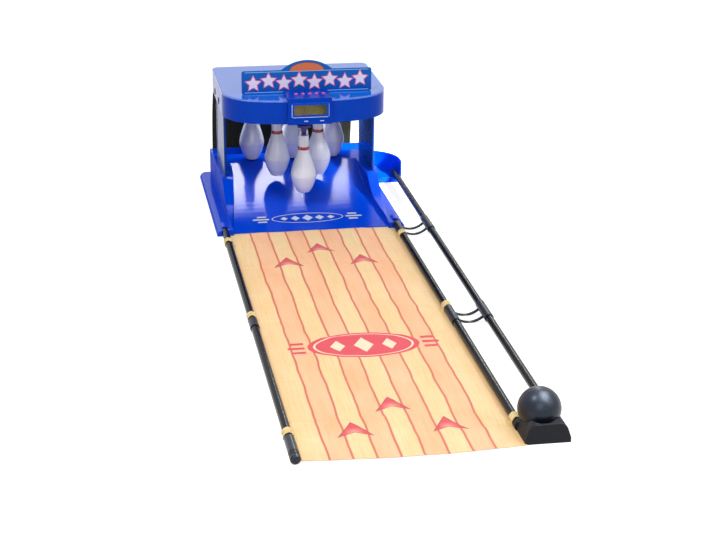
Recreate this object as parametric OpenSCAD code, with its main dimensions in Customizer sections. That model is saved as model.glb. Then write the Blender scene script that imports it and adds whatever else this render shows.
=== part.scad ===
// Table bowling game: a ramp and pin cabinet, a cloth lane held between two tubes,
// and a ball return track that ends in a cradle beside the player.
// The lane axis is X = 0 and the ramp's front edge is Y = 0 in the lane frame;
// set_down() then moves every piece so that the origin is under the middle of the set.

/* [Lane] */
// Distance between the two tubes that hold the lane cloth
lane_w = 406; // [396:2:420]
// Length of the lane cloth
mat_l = 1195; // [1100:5:1300]
// Thickness of the lane cloth
mat_t = 1.2; // [0.8:0.2:2]
// How far the cloth edge draws in between two loops
mat_draw = 4; // [1:0.5:6]
// How far the front edge bows towards the player
mat_bow = 10; // [2:1:16]
// Width of each cloth loop along the tube
loop_w = 24; // [18:1:26]

/* [Tubes and track] */
// Outside diameter of every tube
tube_d = 16; // [14:0.5:17]
// Wall of every tube
tube_wall = 2; // [1.5:0.25:3]
// Distance between the inner and the outer track tube
track_gap = 68; // [64:1:72]
// Height of the outer tube's axis where it leaves the chute
track_top_z = 22; // [18:0.5:24]
// Height of the outer tube's axis at the cradle
track_low_z = 11.5; // [11:0.5:14]
// Wall of the sleeves that join two tubes
sleeve_wall = 1.5; // [1:0.1:1.7]
// Length of the sleeves that join two tubes of the outer track
sleeve_l = 82; // [70:2:90]
// Length of the sleeve that joins the left tubes
coupler_l = 42; // [30:1:60]
// Distance between the two struts of a track bridge
strut_gap = 40; // [34:1:42]
// Width of one strut of a track bridge
strut_w = 6; // [4:0.5:8]
// Thickness of one strut of a track bridge
strut_t = 3.4; // [2.5:0.1:4]

/* [Ball and cradle] */
// Diameter of the ball
ball_d = 78; // [70:1:79]
// Width of the cradle at the floor
cradle_w = 82; // [80:1:84]
// Depth of the cradle along the lane
cradle_d = 70; // [60:1:84]
// Height of the cradle's front wall
cradle_h = 36; // [28:1:40]

/* [Ramp base] */
// Depth of the base from the ramp's front edge to its rear wall
base_d = 465; // [462:1:500]
// Wall of the moulded base
base_wall = 2.6; // [2:0.1:3.4]
// Height of the pin deck at the top of the ramp
deck_h = 84; // [76:1:92]
// Distance from the ramp's front edge to its crest
crest_y = 305; // [295:1:312]
// Half the angle that the ramp's curve turns through
ramp_bow = 7; // [3:0.5:9]
// Depth of the deck behind the crest
deck_d = 75; // [68:1:76]
// Half the ramp's width at its crest
crest_x = 158; // [152:1:162]
// Half the ramp's width at its front edge
mouth_x = 190; // [184:1:192]
// Half the width over the side walls at the front
wall_x = 188; // [187:1:190]
// How far the side walls spread by the rear
wall_spread = 7; // [4:1:8]
// Height of the low front end of the side rails
rail_front_h = 14; // [10:1:20]
// Radius of the rounded foot along each side
foot_r = 14; // [13:0.5:15]
// Distance from the side wall's foot to the middle of the rounded foot
foot_out = 20; // [18:0.5:22]
// Diameter of the round pin spots in the deck
spot_d = 48; // [40:1:52]
// Depth of the round pin spots
spot_depth = 1.6; // [1:0.2:2]

/* [Cabinet] */
// Height of the roof above the floor
roof_h = 312; // [300:2:340]
// Width of the roof
roof_w = 386; // [384:2:396]
// Depth of the roof
roof_d = 360; // [357:1:369]
// Radius of the roof's front curve
roof_front_r = 450; // [400:10:550]
// Height of the band round the roof, from its lower edge to the roof top
band_h = 56; // [50:1:64]
// Wall of the band
band_wall = 2.6; // [2:0.1:3.4]
// Thickness of the roof cover
cover_t = 4; // [3:0.5:6]
// Thickness of the side panels
panel_t = 6; // [4:0.5:8]
// How far the side panels' outer faces stand inside the roof's sides
panel_in = 9; // [8:0.5:11]
// Front edge of the side panels
panel_y = 190; // [188:1:200]

/* [Console] */
// Width of the display console
console_w = 102; // [96:1:110]
// Depth of the display console
console_d = 79; // [77:1:79]
// How far the console stands above the roof
console_up = 6; // [3:0.5:8]
// Wall of the console
console_wall = 2.5; // [2:0.1:3]
// Width of the display window
lcd_w = 76; // [68:1:78]
// Height of the display window
lcd_h = 24; // [20:1:31]
// Diameter of a push button
button_d = 9; // [7:0.5:10]
// Distance between two push buttons
button_pitch = 16; // [13:0.5:16]
// Travel of a push button
button_travel = 1.8; // [1:0.1:2]

/* [Pins] */
// Height of a pin from its foot to the top of its fork
pin_h = 155; // [148:1:158]
// Belly diameter of a pin
pin_d = 61.5; // [56:0.5:64]
// Distance between two pins of one row
pin_pitch = 101; // [98:1:106]
// Distance between two rows of pins
row_pitch = 105; // [102:1:106]
// How much higher each row hangs than the row in front of it
row_rise = 13; // [8:0.5:14]
// Radius of the steel hinge pins
hinge_r = 2; // [1.5:0.25:2.5]

/* [Sign] */
// Width of the sign card
sign_w = 306; // [260:2:320]
// Height of the sign card at its ends
sign_h = 55; // [48:1:60]
// Rise of the arch in the middle of the card
sign_rise = 22; // [10:1:34]
// Thickness of the sign card
sign_t = 2.4; // [1.6:0.2:3]

/* [Backstop] */
// Left edge of the cloth backstop
net_x0 = -188; // [-190:1:-170]
// Right edge of the cloth backstop
net_x1 = 163; // [150:1:166]
// Thickness of the backstop cloth as a solid
net_t = 1.6; // [1.2:0.2:2]
// Depth of the backstop's folds
net_fold = 4; // [2:0.5:5]

/* [Hidden] */

// Clearances
slip = 0.1;
seat_gap = 0.3;
run_gap = 0.05;

// Tubes
tube_r = tube_d / 2;
bore_r = tube_r - tube_wall;
sleeve_r = tube_r + sleeve_wall;
tube_z = sleeve_r + seat_gap;
tube_x = lane_w / 2;
outer_x = tube_x + track_gap;

// Base
base_z = 1.5;
deck_rear = crest_y + deck_d;
well_y0 = deck_rear + base_wall;
well_y1 = base_d - base_wall;
rail_flat_y = panel_y - 2;
rail_swoop = 76;
rail_slope = 0.21;
rail_rear_drop = 6;
foot_x = wall_x + foot_out;
foot_front_y = -12;
foot_z = 2;
base_x = foot_x + foot_r;
socket_y = 5;
socket_l = 30;
socket_wall = 2.2;

// Chute
chute_wall = 2.6;
chute_in = 88;
chute_cx = wall_x + wall_spread;
chute_r = chute_in;
chute_cy = well_y1 - chute_r;
chute_front = 350;
chute_floor = 15;
chute_rim = 57;
chute_x1 = chute_cx + chute_r + chute_wall;

// Track
track_y1 = chute_cy;
bridge_y1 = -46;
bridge_y2 = -603;
loop_ys = [-84, -553, -1108];
coupler_y = -592;
cradle_front = -mat_l + 1;
cradle_back = cradle_front + cradle_d;
cradle_cx = tube_x + track_gap / 2 + 2;
cradle_round = 15;
rail_end = cradle_back + seat_gap;
rail_tilt = atan((track_top_z - track_low_z) / (track_y1 - rail_end));
cap_l = 84;
cap_in = 40;
cap_front = -mat_l - 14;

// Ball at rest in its cradle
ball_r = ball_d / 2;
ball_y = cradle_front + 54;
ball_x = ball_at(ball_y)[0];
ball_z = ball_at(ball_y)[1] + 0.4;

// Whole set
mid_x = (chute_x1 - base_x) / 2;
mid_y = (base_d + seat_gap + net_t + cap_front) / 2;

// Pin rows
spot_y = crest_y + 27;
row_ys = [spot_y - 2 * row_pitch, spot_y - row_pitch, spot_y];

// Cabinet
roof_x = roof_w / 2;
panel_x = roof_x - panel_in;
roof_front = 16;
roof_rear = roof_front + roof_d;
corner_r = 100;
rear_r = 17;
cover_z = roof_h - cover_t;
band_z = roof_h - band_h;
band_in = roof_x - band_wall;
beam_z = cover_z - 22;
beam_t = 8;
beam_ys = [row_ys[0] + 28, row_ys[2] - 2];
panel_rear = roof_rear;
panel_top = cover_z - 3;
screw_ys = [207, 300];
screw_z = band_z + 14;
screw_r = 1.9;
tab_ys = [225, 335];
tab_l = 24;
tab_t = 3;
tab_depth = 9;
side_slot_z = deck_h - 40;

// Console
console_x = console_w / 2;
console_y0 = roof_front - 5;
console_y1 = console_y0 + console_d;
console_top = roof_h + console_up;
lcd_x = 1;
lcd_z = console_top - 28;
bezel_rim = 6;
button_y = console_y0 + 40;
button_x = 5;
button_board_z = console_top - 15;
cell_d = 14.5;
cell_l = 50;
cell_gap = 0.5;
door_w = 60;
door_l = 50;
door_x = 0;
door_y = console_y0 + 48;
speaker_x = roof_x - 105;
speaker_y = console_y0 + 49;

// Pins
pin_foot = [61, 61 + row_rise, 61 + 2 * row_rise];
pivot_h = pin_h - 6.5;
pin_spots = [
    [0, 0], [-0.5, 1], [0.5, 1], [-1, 2], [0, 2], [1, 2]
];
fork_in = 6;
fork_t = 4;
fork_r = 6.5;
tongue_gap = 0.3;
rack_up = 17;
rack_t = 3;
rack_x = pin_pitch + 17;
board_x = pin_pitch - 31;

// Sign
sign_y = 92;
sign_x = 4;
sign_tab = 20;
arch_w = 120;

// Backstop
net_top_z = cover_z - 12;
net_rail_r = 2.5;
net_rail_y = roof_rear + 6;
net_low_z = deck_h - rail_rear_drop + 1;

// Helpers

module set_down() translate([-mid_x, -mid_y, 0]) children();

module along_x(x0, x1)
    translate([x0, 0, 0]) rotate([90, 0, 90]) linear_extrude(x1 - x0) children();

module along_y(y0, y1)
    translate([0, y1, 0]) rotate([90, 0, 0]) linear_extrude(y1 - y0) children();

module block(x0, x1, y0, y1, z0, z1)
    translate([x0, y0, z0]) cube([x1 - x0, y1 - y0, z1 - z0]);

module rod_x(x0, x1, y, z, r)
    translate([x0, y, z]) rotate([0, 90, 0]) cylinder(h = x1 - x0, r = r, $fn = 48);

module rod_y(y0, y1, x, z, r)
    translate([x, y0, z]) rotate([-90, 0, 0]) cylinder(h = y1 - y0, r = r, $fn = 48);

module mirror_pair() {
    children();
    mirror([1, 0, 0]) children();
}

function clamp01(t) = min(1, max(0, t));
function smooth(t) = let (u = clamp01(t)) u * u * (3 - 2 * u);
function steps(a, b, n) = [for (i = [0:n]) a + (b - a) * i / n];

// Catmull-Rom curve through the points p, with n steps in each span
function spline(p, n) = [
    for (i = [0:len(p) - 2], k = [0:n - 1])
        let (t = k / n,
             a = p[max(0, i - 1)], b = p[i], c = p[i + 1], d = p[min(len(p) - 1, i + 2)])
        0.5 * (2 * b + (c - a) * t + (2 * a - 5 * b + 4 * c - d) * t * t
               + (3 * b - a - 3 * c + d) * t * t * t),
    p[len(p) - 1]
];

// The outer track tube falls towards the cradle: local Y runs along it
module on_outer_rail()
    translate([outer_x, rail_end, track_low_z]) rotate([rail_tilt, 0, 0])
        translate([0, -rail_end, 0]) children();

module outer_tube(y0, y1) on_outer_rail() tube(y0, y1);

module tube(y0, y1)
    difference() {
        rod_y(y0, y1, 0, 0, tube_r);
        rod_y(y0 - 1, y1 + 1, 0, 0, bore_r);
    }

// Ramp base

chord = norm([crest_y, deck_h - base_z - 2]);
chord_angle = atan((deck_h - base_z - 2) / crest_y);
ramp_r = chord / (2 * sin(ramp_bow));
ramp_in = chord_angle - ramp_bow;

function ramp_y(t) = ramp_r * (sin(ramp_in + 2 * ramp_bow * t) - sin(ramp_in));
function ramp_z(t) = base_z + 2 + ramp_r * (cos(ramp_in) - cos(ramp_in + 2 * ramp_bow * t));

// Ramp and deck seen from the side, dropped by d below the outer surface
function ramp_side(d) = concat(
    [[d > 0 ? 24 : 0, base_z - (d > 0 ? 5 : 0)]],
    [for (t = steps(d > 0 ? 0.08 : 0, 1, 16)) [ramp_y(t), ramp_z(t) - d]],
    [[deck_rear + (d > 0 ? 0 : base_wall), deck_h - d],
     [deck_rear + (d > 0 ? 0 : base_wall), base_z - (d > 0 ? 5 : 0)]]
);

// Side rail height along the base
function rail_z(y) = y > rail_flat_y
    ? deck_h - rail_rear_drop * smooth((y - panel_rear) / (base_d - panel_rear))
    : rail_front_h + rail_slope * max(0, y)
      + (deck_h - rail_front_h - rail_slope * rail_flat_y)
        * smooth((y - rail_flat_y + rail_swoop) / rail_swoop);

rail_stations = concat(steps(0, rail_flat_y - rail_swoop, 4),
    [for (y = steps(rail_flat_y - rail_swoop, rail_flat_y, 8)) if (y > rail_flat_y - rail_swoop) y],
    [panel_rear], [for (y = steps(panel_rear, base_d, 4)) if (y > panel_rear) y]);

// Inner and outer face of a side rail seen from above
function mouth(y) = crest_x + (mouth_x - crest_x) * pow(clamp01((crest_y - y) / crest_y), 2);
function outer_wall(y) = wall_x + wall_spread * clamp01(y / base_d);

module rail_side(d) polygon(concat(
    [[d, base_z - (d > 0 ? 5 : 0)]],
    [for (y = rail_stations) [min(max(y, d), base_d - d), rail_z(y) - d]],
    [[base_d - d, base_z - (d > 0 ? 5 : 0)]]));

module rail_plan(d) polygon(concat(
    [for (y = steps(d, base_d - d, 12)) [min(mouth(y) + d, outer_wall(y) - d - 0.01), y]],
    [for (y = [base_d - d, d]) [outer_wall(y) - d, y]]));

module side_rail(d) intersection() {
    along_x(0, base_x) rail_side(d);
    translate([0, 0, -5]) linear_extrude(deck_h + 10) rail_plan(d);
}

// The body under the ramp, out to the side walls
module ramp_body(d) intersection() {
    along_x(-base_x, base_x) polygon(ramp_side(d));
    translate([0, 0, -5]) linear_extrude(deck_h + 10) polygon([
        [-outer_wall(0) + d, 0], [outer_wall(0) - d, 0],
        [outer_wall(base_d) - d, base_d], [-outer_wall(base_d) + d, base_d]
    ]);
}

module long_foot(d) {
    bottom = base_z - (d > 0 ? 5 : 0);
    along_y(foot_front_y + d, base_d - d) {
        intersection() {
            translate([foot_x, foot_z]) circle(foot_r - d, $fn = 64);
            translate([foot_x - 1, bottom]) square([base_x, foot_r * 2]);
        }
        translate([wall_x - 4 + d, bottom])
            square([foot_x - wall_x + 4 - d, foot_z + foot_r - d - bottom]);
    }
}

module rear_wall() block(-outer_wall(base_d), outer_wall(base_d), well_y1, base_d,
    base_z, deck_h - rail_rear_drop);

module base_inside() {
    ramp_body(base_wall);
    mirror_pair() {
        side_rail(base_wall);
        long_foot(base_wall);
    }
}

foot_spots = [[168, 40], [174, crest_y + 25], [186, base_d - 10]];
gutter_ribs = [-140, 0, 140];

module tube_socket() {
    rod_y(socket_y, socket_y + socket_l, tube_x, tube_z + 0.5, tube_r + socket_wall);
}

module base_shell() set_down() color("royalblue") {
    difference() {
        union() {
            difference() {
                union() {
                    ramp_body(0);
                    rear_wall();
                    mirror_pair() {
                        side_rail(0);
                        long_foot(0);
                    }
                }
                base_inside();
                // The ball well opens through the right side rail to the chute
                block(crest_x - 10, base_x + 5, well_y0, well_y1, gutter_z(outer_wall(base_d)),
                    deck_h + 10);
            }
            mirror_pair() tube_socket();
            // Stiffening ribs and the bosses of the feet, under the ramp
            intersection() {
                base_inside();
                union() {
                    for (x = [-96, -32, 32, 96])
                        block(x - 1, x + 1, 60, deck_rear, base_z + 3, deck_h);
                    for (y = [130, 210, 290])
                        block(-outer_wall(y), outer_wall(y), y - 1, y + 1, base_z + 3, deck_h);
                    mirror_pair() for (p = foot_spots)
                        translate([p[0], p[1], base_z])
                            cylinder(h = p[1] > well_y0 ? chute_floor : deck_h, r = 9, $fn = 40);
                }
            }
            // Ribs that carry the gutter, and the inner wall at the well's left end
            for (x = gutter_ribs)
                block(x - 1.2, x + 1.2, well_y0 - 1, well_y1 + 1, base_z, gutter_z(x + 1.2));
            intersection() {
                block(-crest_x - base_wall, -crest_x, well_y0 - base_wall, well_y1 + 1,
                    base_z, deck_h);
                mirror([1, 0, 0]) side_rail(0);
            }
        }
        // Flat underside
        block(-base_x - 5, base_x + 5, foot_front_y - 5, base_d + 5, -20, base_z);
        // Tube bores
        mirror_pair() rod_y(foot_front_y - 1, socket_y + socket_l - base_wall, tube_x, tube_z, tube_r + slip);
        // Round spots under the back row
        for (i = [-1:1]) translate([i * pin_pitch, spot_y, deck_h - spot_depth])
            cylinder(h = spot_depth + 5, d = spot_d, $fn = 64);
        // Slots for the panel tabs
        mirror_pair() for (y = tab_ys)
            block(panel_x - panel_t / 2 - tab_t / 2 - slip, panel_x - panel_t / 2 + tab_t / 2 + slip,
                y - tab_l / 2 - slip, y + tab_l / 2 + slip, deck_h - tab_depth - 1, deck_h + 5);
        // Narrow slots in the side walls below the tabs
        mirror_pair() for (y = tab_ys)
            block(outer_wall(y) - 3 * base_wall, base_x + 5, y - 1.6, y + 1.6, side_slot_z, side_slot_z + 32);
        // Blind sockets for the rubber feet
        mirror_pair() for (p = foot_spots)
            translate([p[0], p[1], -1]) cylinder(h = base_z + 4, r = 5 + slip, $fn = 40);
    }
}

module rubber_feet() set_down() color("dimgray")
    mirror_pair() for (p = foot_spots) translate([p[0], p[1], 0]) {
        cylinder(h = base_z + 2.5, r = 5, $fn = 40);
        cylinder(h = base_z, r = 7.5, $fn = 40);
    }

// Gutter under the well, falling to the right
gutter_fall = 0.035;
gutter_t = 2.4;
gutter_side = 16;
function gutter_z(x) = chute_floor + 5 + (chute_cx - x) * gutter_fall;

module ball_gutter() set_down() color("midnightblue") {
    gx0 = -crest_x + 1;
    gx1 = base_x;
    intersection() {
        along_y(well_y0, well_y1) polygon([
            [gx0, gutter_z(gx0)], [gx1, gutter_z(gx1)],
            [gx1, gutter_z(gx1) + gutter_t], [gx0, gutter_z(gx0) + gutter_t]
        ]);
        linear_extrude(deck_h) {
            translate([gx0, well_y0 + seat_gap])
                square([chute_cx - gx0, well_y1 - well_y0 - 2 * seat_gap]);
            intersection() {
                chute_plan(-seat_gap);
                translate([0, well_y0 + seat_gap]) square(base_x * 2);
            }
        }
    }
    for (y = [well_y0 + seat_gap, well_y1 - seat_gap - 2])
        along_y(y, y + 2) polygon([
            [gx0, gutter_z(gx0)], [chute_cx - 1, gutter_z(chute_cx - 1)],
            [chute_cx - 1, gutter_z(chute_cx - 1) + gutter_side], [gx0, gutter_z(gx0) + gutter_side]
        ]);
}

// Chute: a quarter bend that turns the ball forward on to the track
module chute_plan(d) {
    intersection() {
        translate([chute_cx, chute_cy]) circle(chute_r + d, $fn = 96);
        translate([chute_cx, chute_cy]) square(chute_r + d + 1);
    }
    translate([chute_cx, chute_front]) square([chute_r + d, chute_cy - chute_front]);
}

module return_chute() set_down() color("royalblue") difference() {
    translate([0, 0, base_z]) linear_extrude(chute_rim - base_z) difference() {
        chute_plan(chute_wall);
        translate([-50, 0]) square([50 + base_x + seat_gap, well_y0]);
        translate([-50, 0]) square([50 + outer_wall(base_d) + seat_gap, well_y1 + 40]);
    }
    translate([0, 0, chute_floor]) linear_extrude(chute_rim) chute_plan(0);
    // Room for the base's long foot
    block(0, base_x + seat_gap, chute_front - 5, base_d + 5, -5, foot_z + foot_r + seat_gap);
    // Socket for the outer tube
    on_outer_rail() rod_y(chute_front - 40, track_y1 + slip, 0, 0, tube_r + slip);
    // Hollow underside
    translate([0, 0, -5]) linear_extrude(chute_floor - chute_wall + 5) difference() {
        chute_plan(-0.5);
        translate([-50, 0]) square([50 + base_x + 5, well_y1 + 40]);
        translate([outer_x - 13, 0]) square([40, track_y1 + 6]);
        translate([0, 0]) square([chute_x1 + 40, chute_front + 4]);
    }
}

// Side panels with two tabs in the side rails

module side_panel() difference() {
    union() {
        block(panel_x - panel_t, panel_x, panel_y + panel_t / 2, panel_rear, deck_h, panel_top);
        translate([panel_x - panel_t / 2, panel_y + panel_t / 2, deck_h])
            cylinder(h = panel_top - deck_h, d = panel_t, $fn = 32);
        for (y = tab_ys)
            block(panel_x - panel_t / 2 - tab_t / 2, panel_x - panel_t / 2 + tab_t / 2,
                y - tab_l / 2, y + tab_l / 2, deck_h - tab_depth, deck_h + 1);
    }
    // Notches for the roof's rear band and its cross beam
    block(panel_x - panel_t - 1, panel_x + 1, roof_rear - band_wall - 3.4, panel_rear + 1,
        band_z - seat_gap, roof_h);
    block(panel_x - panel_t - 1, panel_x + 1, beam_ys[1] - beam_t / 2 - seat_gap,
        beam_ys[1] + beam_t / 2 + seat_gap, beam_z - seat_gap, roof_h);
    // Shallow recess on the outer face, inside a rim
    block(panel_x - 0.8, panel_x + 5, panel_y + 14, panel_rear - 10, deck_h + 10, band_z - 8);
    for (y = screw_ys)
        rod_x(panel_x - panel_t - 1, panel_x + 1, y, screw_z, screw_r + run_gap);
}

module left_panel() set_down() color("steelblue") mirror([1, 0, 0]) side_panel();
module right_panel() set_down() color("darkblue") side_panel();

// Roof outline: straight sides, small corners and one broad front curve
module roof_plan(d) offset_plan(roof_x - d, corner_r - d, roof_front_r - d);

module offset_plan(half, corner, front) {
    corner_cx = roof_x - corner_r;
    front_cy = roof_front + roof_front_r;
    corner_cy = front_cy - sqrt(pow(roof_front_r - corner_r, 2) - pow(corner_cx, 2));
    join_a = asin(corner_cx / (roof_front_r - corner_r));
    inset = roof_x - half;
    polygon(concat(
        [for (a = steps(-join_a, join_a, 24)) [front * sin(a), front_cy - front * cos(a)]],
        [for (a = steps(join_a, 90, 16)) if (a > join_a)
            [corner_cx + corner * sin(a), corner_cy - corner * cos(a)]],
        [for (a = steps(0, 90, 8)) let (r = rear_r - inset)
            [half - r + r * cos(a), roof_rear - inset - r + r * sin(a)]],
        [for (a = steps(90, 0, 8)) let (r = rear_r - inset)
            [-half + r - r * cos(a), roof_rear - inset - r + r * sin(a)]],
        [for (a = steps(90, join_a, 16)) if (a > join_a)
            [-corner_cx - corner * sin(a), corner_cy - corner * cos(a)]]
    ));
}

module console_cut(d) block(-console_x - d, console_x + d, console_y0 - 20, console_y1 + d,
    band_z - 20, console_top + 20);

module canopy_frame() set_down() color("blue") difference() {
    union() {
        translate([0, 0, band_z]) linear_extrude(cover_z - band_z) difference() {
            roof_plan(0);
            roof_plan(band_wall);
        }
        // Ledge under the cover
        translate([0, 0, cover_z - 3]) linear_extrude(3) difference() {
            roof_plan(band_wall / 2);
            roof_plan(band_wall + 7);
        }
        // Cross beams that carry the pin rack
        for (y = beam_ys)
            block(-band_in - 1, band_in + 1, y - beam_t / 2, y + beam_t / 2, beam_z, cover_z);
        // Ribs that the side panels are screwed to
        mirror_pair() for (y = screw_ys)
            block(panel_x, band_in + 1, y - 8, y + 8, band_z + 2, cover_z);
        // Hooks for the backstop rail
        for (x = [-150, -12, 126]) difference() {
            block(x - 4, x + 4, roof_rear - 2, net_rail_y + 4, net_top_z - net_rail_r - 1.5, net_top_z + 5);
            rod_x(x - 5, x + 5, net_rail_y, net_top_z, net_rail_r + run_gap);
        }
    }
    console_cut(seat_gap);
    // The panels' top corners stand inside the band
    mirror_pair() for (y = screw_ys) {
        rod_x(panel_x - 1, roof_x + 1, y, screw_z, screw_r + run_gap);
        rod_x(roof_x - 3.2, roof_x + 1, y, screw_z, 4.4);
    }
    for (x = [-rack_x + 6, rack_x - 6], y = beam_ys)
        translate([x, y, beam_z - 1]) cylinder(h = 12, r = 1.6, $fn = 32);
}

module roof_cover() set_down() color("cornflowerblue") difference() {
    union() {
        translate([0, 0, cover_z]) linear_extrude(cover_t - 1) roof_plan(0);
        translate([0, 0, roof_h - 1]) linear_extrude(1) roof_plan(0.9);
        translate([speaker_x, speaker_y, cover_z - 3]) linear_extrude(3.5) difference() {
            circle(d = 46, $fn = 48);
            circle(d = 40, $fn = 48);
        }
    }
    console_cut(seat_gap);
    for (x = [sign_x - sign_w / 3, sign_x + sign_w / 3])
        block(x - sign_tab / 2 - slip, x + sign_tab / 2 + slip, sign_y - sign_t / 2 - slip,
            sign_y + sign_t / 2 + slip, cover_z - 5, roof_h + 5);
}

module cabinet_screws() set_down() color("silver")
    mirror_pair() for (y = screw_ys) {
        rod_x(panel_x - panel_t + 1, roof_x - 3, y, screw_z, screw_r);
        difference() {
            rod_x(roof_x - 3.1, roof_x - 0.8, y, screw_z, 4);
            block(roof_x - 1.8, roof_x, y - 2.6, y + 2.6, screw_z - 0.5, screw_z + 0.5);
            block(roof_x - 1.8, roof_x, y - 0.5, y + 0.5, screw_z - 2.6, screw_z + 2.6);
        }
    }

// Console

module rounded_plate(w, h, r) hull() for (x = [-1, 1], y = [-1, 1])
    translate([x * (w / 2 - r), y * (h / 2 - r)]) circle(r, $fn = 24);

module console_housing() set_down() color("mediumblue") difference() {
    union() {
        difference() {
            block(-console_x, console_x, console_y0, console_y1, band_z, console_top);
            block(-console_x + console_wall, console_x - console_wall, console_y0 + console_wall,
                console_y1 - console_wall, band_z + console_wall, console_top - console_wall);
        }
        // Walls of the battery bay
        block(door_x - door_w / 2 - 2, door_x + door_w / 2 + 2, door_y - door_l / 2 - 2,
            door_y + door_l / 2 + 2, band_z, band_z + 22);
        // Posts of the button board
        for (s = [-1.5, 1.5]) translate([button_x + s * button_pitch, button_y, button_board_z + 1.6])
            cylinder(h = console_top - console_wall - button_board_z - 1.1, r = 1.8, $fn = 32);
        // Posts of the main board
        for (x = [-44, 44]) rod_y(console_y0 + 1, console_y0 + 12, x, band_z + 8, 2.6);
    }
    block(door_x - door_w / 2, door_x + door_w / 2, door_y - door_l / 2, door_y + door_l / 2,
        band_z - 1, band_z + 20);
    translate([lcd_x, 0, lcd_z])
        along_y(console_y0 - 1, console_y0 + console_wall + 1) square([lcd_w, lcd_h], center = true);
    for (i = [-2:2]) translate([button_x + i * button_pitch, button_y, console_top - 10])
        cylinder(h = 20, d = button_d + 2 * seat_gap, $fn = 40);
}

module lcd_bezel() set_down() color("deepskyblue") translate([lcd_x, 0, lcd_z])
    along_y(console_y0 - 1.4, console_y0) difference() {
        rounded_plate(lcd_w + 2 * bezel_rim, lcd_h + 2 * bezel_rim, 3);
        square([lcd_w, lcd_h], center = true);
    }

module lcd_window() set_down() color("lightgray", 0.4) translate([lcd_x, 0, lcd_z])
    along_y(console_y0 + 0.2, console_y0 + 1.4)
        square([lcd_w - 2 * slip, lcd_h - 2 * slip], center = true);

module lcd_module() set_down() color("darkolivegreen") translate([lcd_x, 0, lcd_z]) {
    along_y(console_y0 + console_wall, console_y0 + console_wall + 3)
        square([lcd_w + 8, lcd_h + 7], center = true);
    along_y(console_y0 + 1.6, console_y0 + console_wall + 1)
        square([lcd_w - 4, lcd_h - 3], center = true);
}

module main_board() set_down() color("darkgreen") {
    by = console_y0 + 12;
    block(-46, 46, by, by + 1.6, band_z + 4, console_top - 18);
    for (p = [[-22, 12, 14, 10], [14, 14, 22, 14], [30, 34, 9, 9]])
        block(p[0], p[0] + p[2], by + 1.5, by + 4, band_z + p[1], band_z + p[1] + p[3]);
    // Spacer frame that carries the display
    difference() {
        block(lcd_x - 40, lcd_x + 40, console_y0 + console_wall + 3, by + 0.1,
            lcd_z - lcd_h / 2 - 1, lcd_z);
        block(lcd_x - 36, lcd_x + 36, console_y0, by + 5, lcd_z - lcd_h / 2 + 3, lcd_z + 5);
    }
}

module button_board() set_down() color("darkgreen") {
    block(button_x - 2 * button_pitch - 8, button_x + 2 * button_pitch + 7,
        button_y - 6, button_y + 6, button_board_z, button_board_z + 1.6);
    for (i = [-2:2]) translate([button_x + i * button_pitch, button_y, button_board_z + 1.5])
        cylinder(h = 3.5, r = 1.8, $fn = 32);
}

// A push button: domed cap, and a collar that keeps it in the console
module push_button(i) set_down() color("hotpink")
    translate([button_x + (i - 3) * button_pitch, button_y, 0]) {
        stem_z = button_board_z + 5 + button_travel + 0.2;
        translate([0, 0, stem_z]) cylinder(h = console_top + 1.6 - stem_z, d = button_d, $fn = 40);
        translate([0, 0, console_top + 1.5]) cylinder(h = 1, d1 = button_d, d2 = button_d - 2.4, $fn = 40);
        translate([0, 0, console_top - console_wall - seat_gap - 1.4])
            cylinder(h = 1.4, d = button_d + 2.4, $fn = 40);
    }

module speaker() set_down() color("dimgray") translate([speaker_x, speaker_y, cover_z - 3]) {
    translate([0, 0, -3]) cylinder(h = 3, d = 45, $fn = 48);
    translate([0, 0, -9]) cylinder(h = 6.5, d1 = 20, d2 = 40, $fn = 48);
    translate([0, 0, -15]) cylinder(h = 6.5, d = 22, $fn = 48);
}

module battery_cells() set_down() color("orange")
    for (i = [-1:1]) {
        y = door_y + i * (cell_d + cell_gap);
        rod_x(door_x - cell_l / 2, door_x + cell_l / 2, y, band_z + 3 + cell_d / 2, cell_d / 2);
    }

module battery_contacts() set_down() color("silver")
    for (s = [-1, 1]) {
        x = door_x + s * (door_w / 2 - 1);
        block(x - 0.4, x + 0.4, door_y - 22, door_y + 22, band_z + 4, band_z + 16);
        for (i = [-1:1]) {
            y = door_y + i * (cell_d + cell_gap);
            if (s > 0) rod_x(door_x + cell_l / 2 + 0.1, x, y, band_z + 3 + cell_d / 2, 2.4);
            else rod_x(x, door_x - cell_l / 2 - 0.1, y, band_z + 3 + cell_d / 2, 3.2);
        }
    }

module battery_door() set_down() color("royalblue") difference() {
    block(door_x - door_w / 2 + seat_gap, door_x + door_w / 2 - seat_gap,
        door_y - door_l / 2 + seat_gap, door_y + door_l / 2 - seat_gap, band_z, band_z + 2.2);
    for (y = [-6, 0, 6])
        block(door_x - 12, door_x + 12, door_y + y - 1, door_y + y + 1, band_z - 1, band_z + 0.8);
}

// Pins

function spot_of(i) = pin_spots[i - 1];
function pin_x(i) = spot_of(i)[0] * pin_pitch;
function pin_y(i) = row_ys[spot_of(i)[1]];
function pin_z(i) = pin_foot[spot_of(i)[1]];
function pivot_z(i) = pin_z(i) + pivot_h;

// The outline is drawn for a pin 155 high and 61.5 wide and grows with both
pin_tall = pin_h / 155;
pin_wide = pin_d / 61.5;
neck_h = 140 * pin_tall;
ring_z = 105 * pin_tall;
pin_outline = [for (p = spline([
    [14.5, 0], [17, 3], [24, 16], [30.75, 38], [29.3, 54], [22.6, 77],
    [16, 95], [13, 107], [12.6, 113], [13.2, 125], [12.8, 140]
], 4)) [p[0] * pin_wide, p[1] * pin_tall]];

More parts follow.
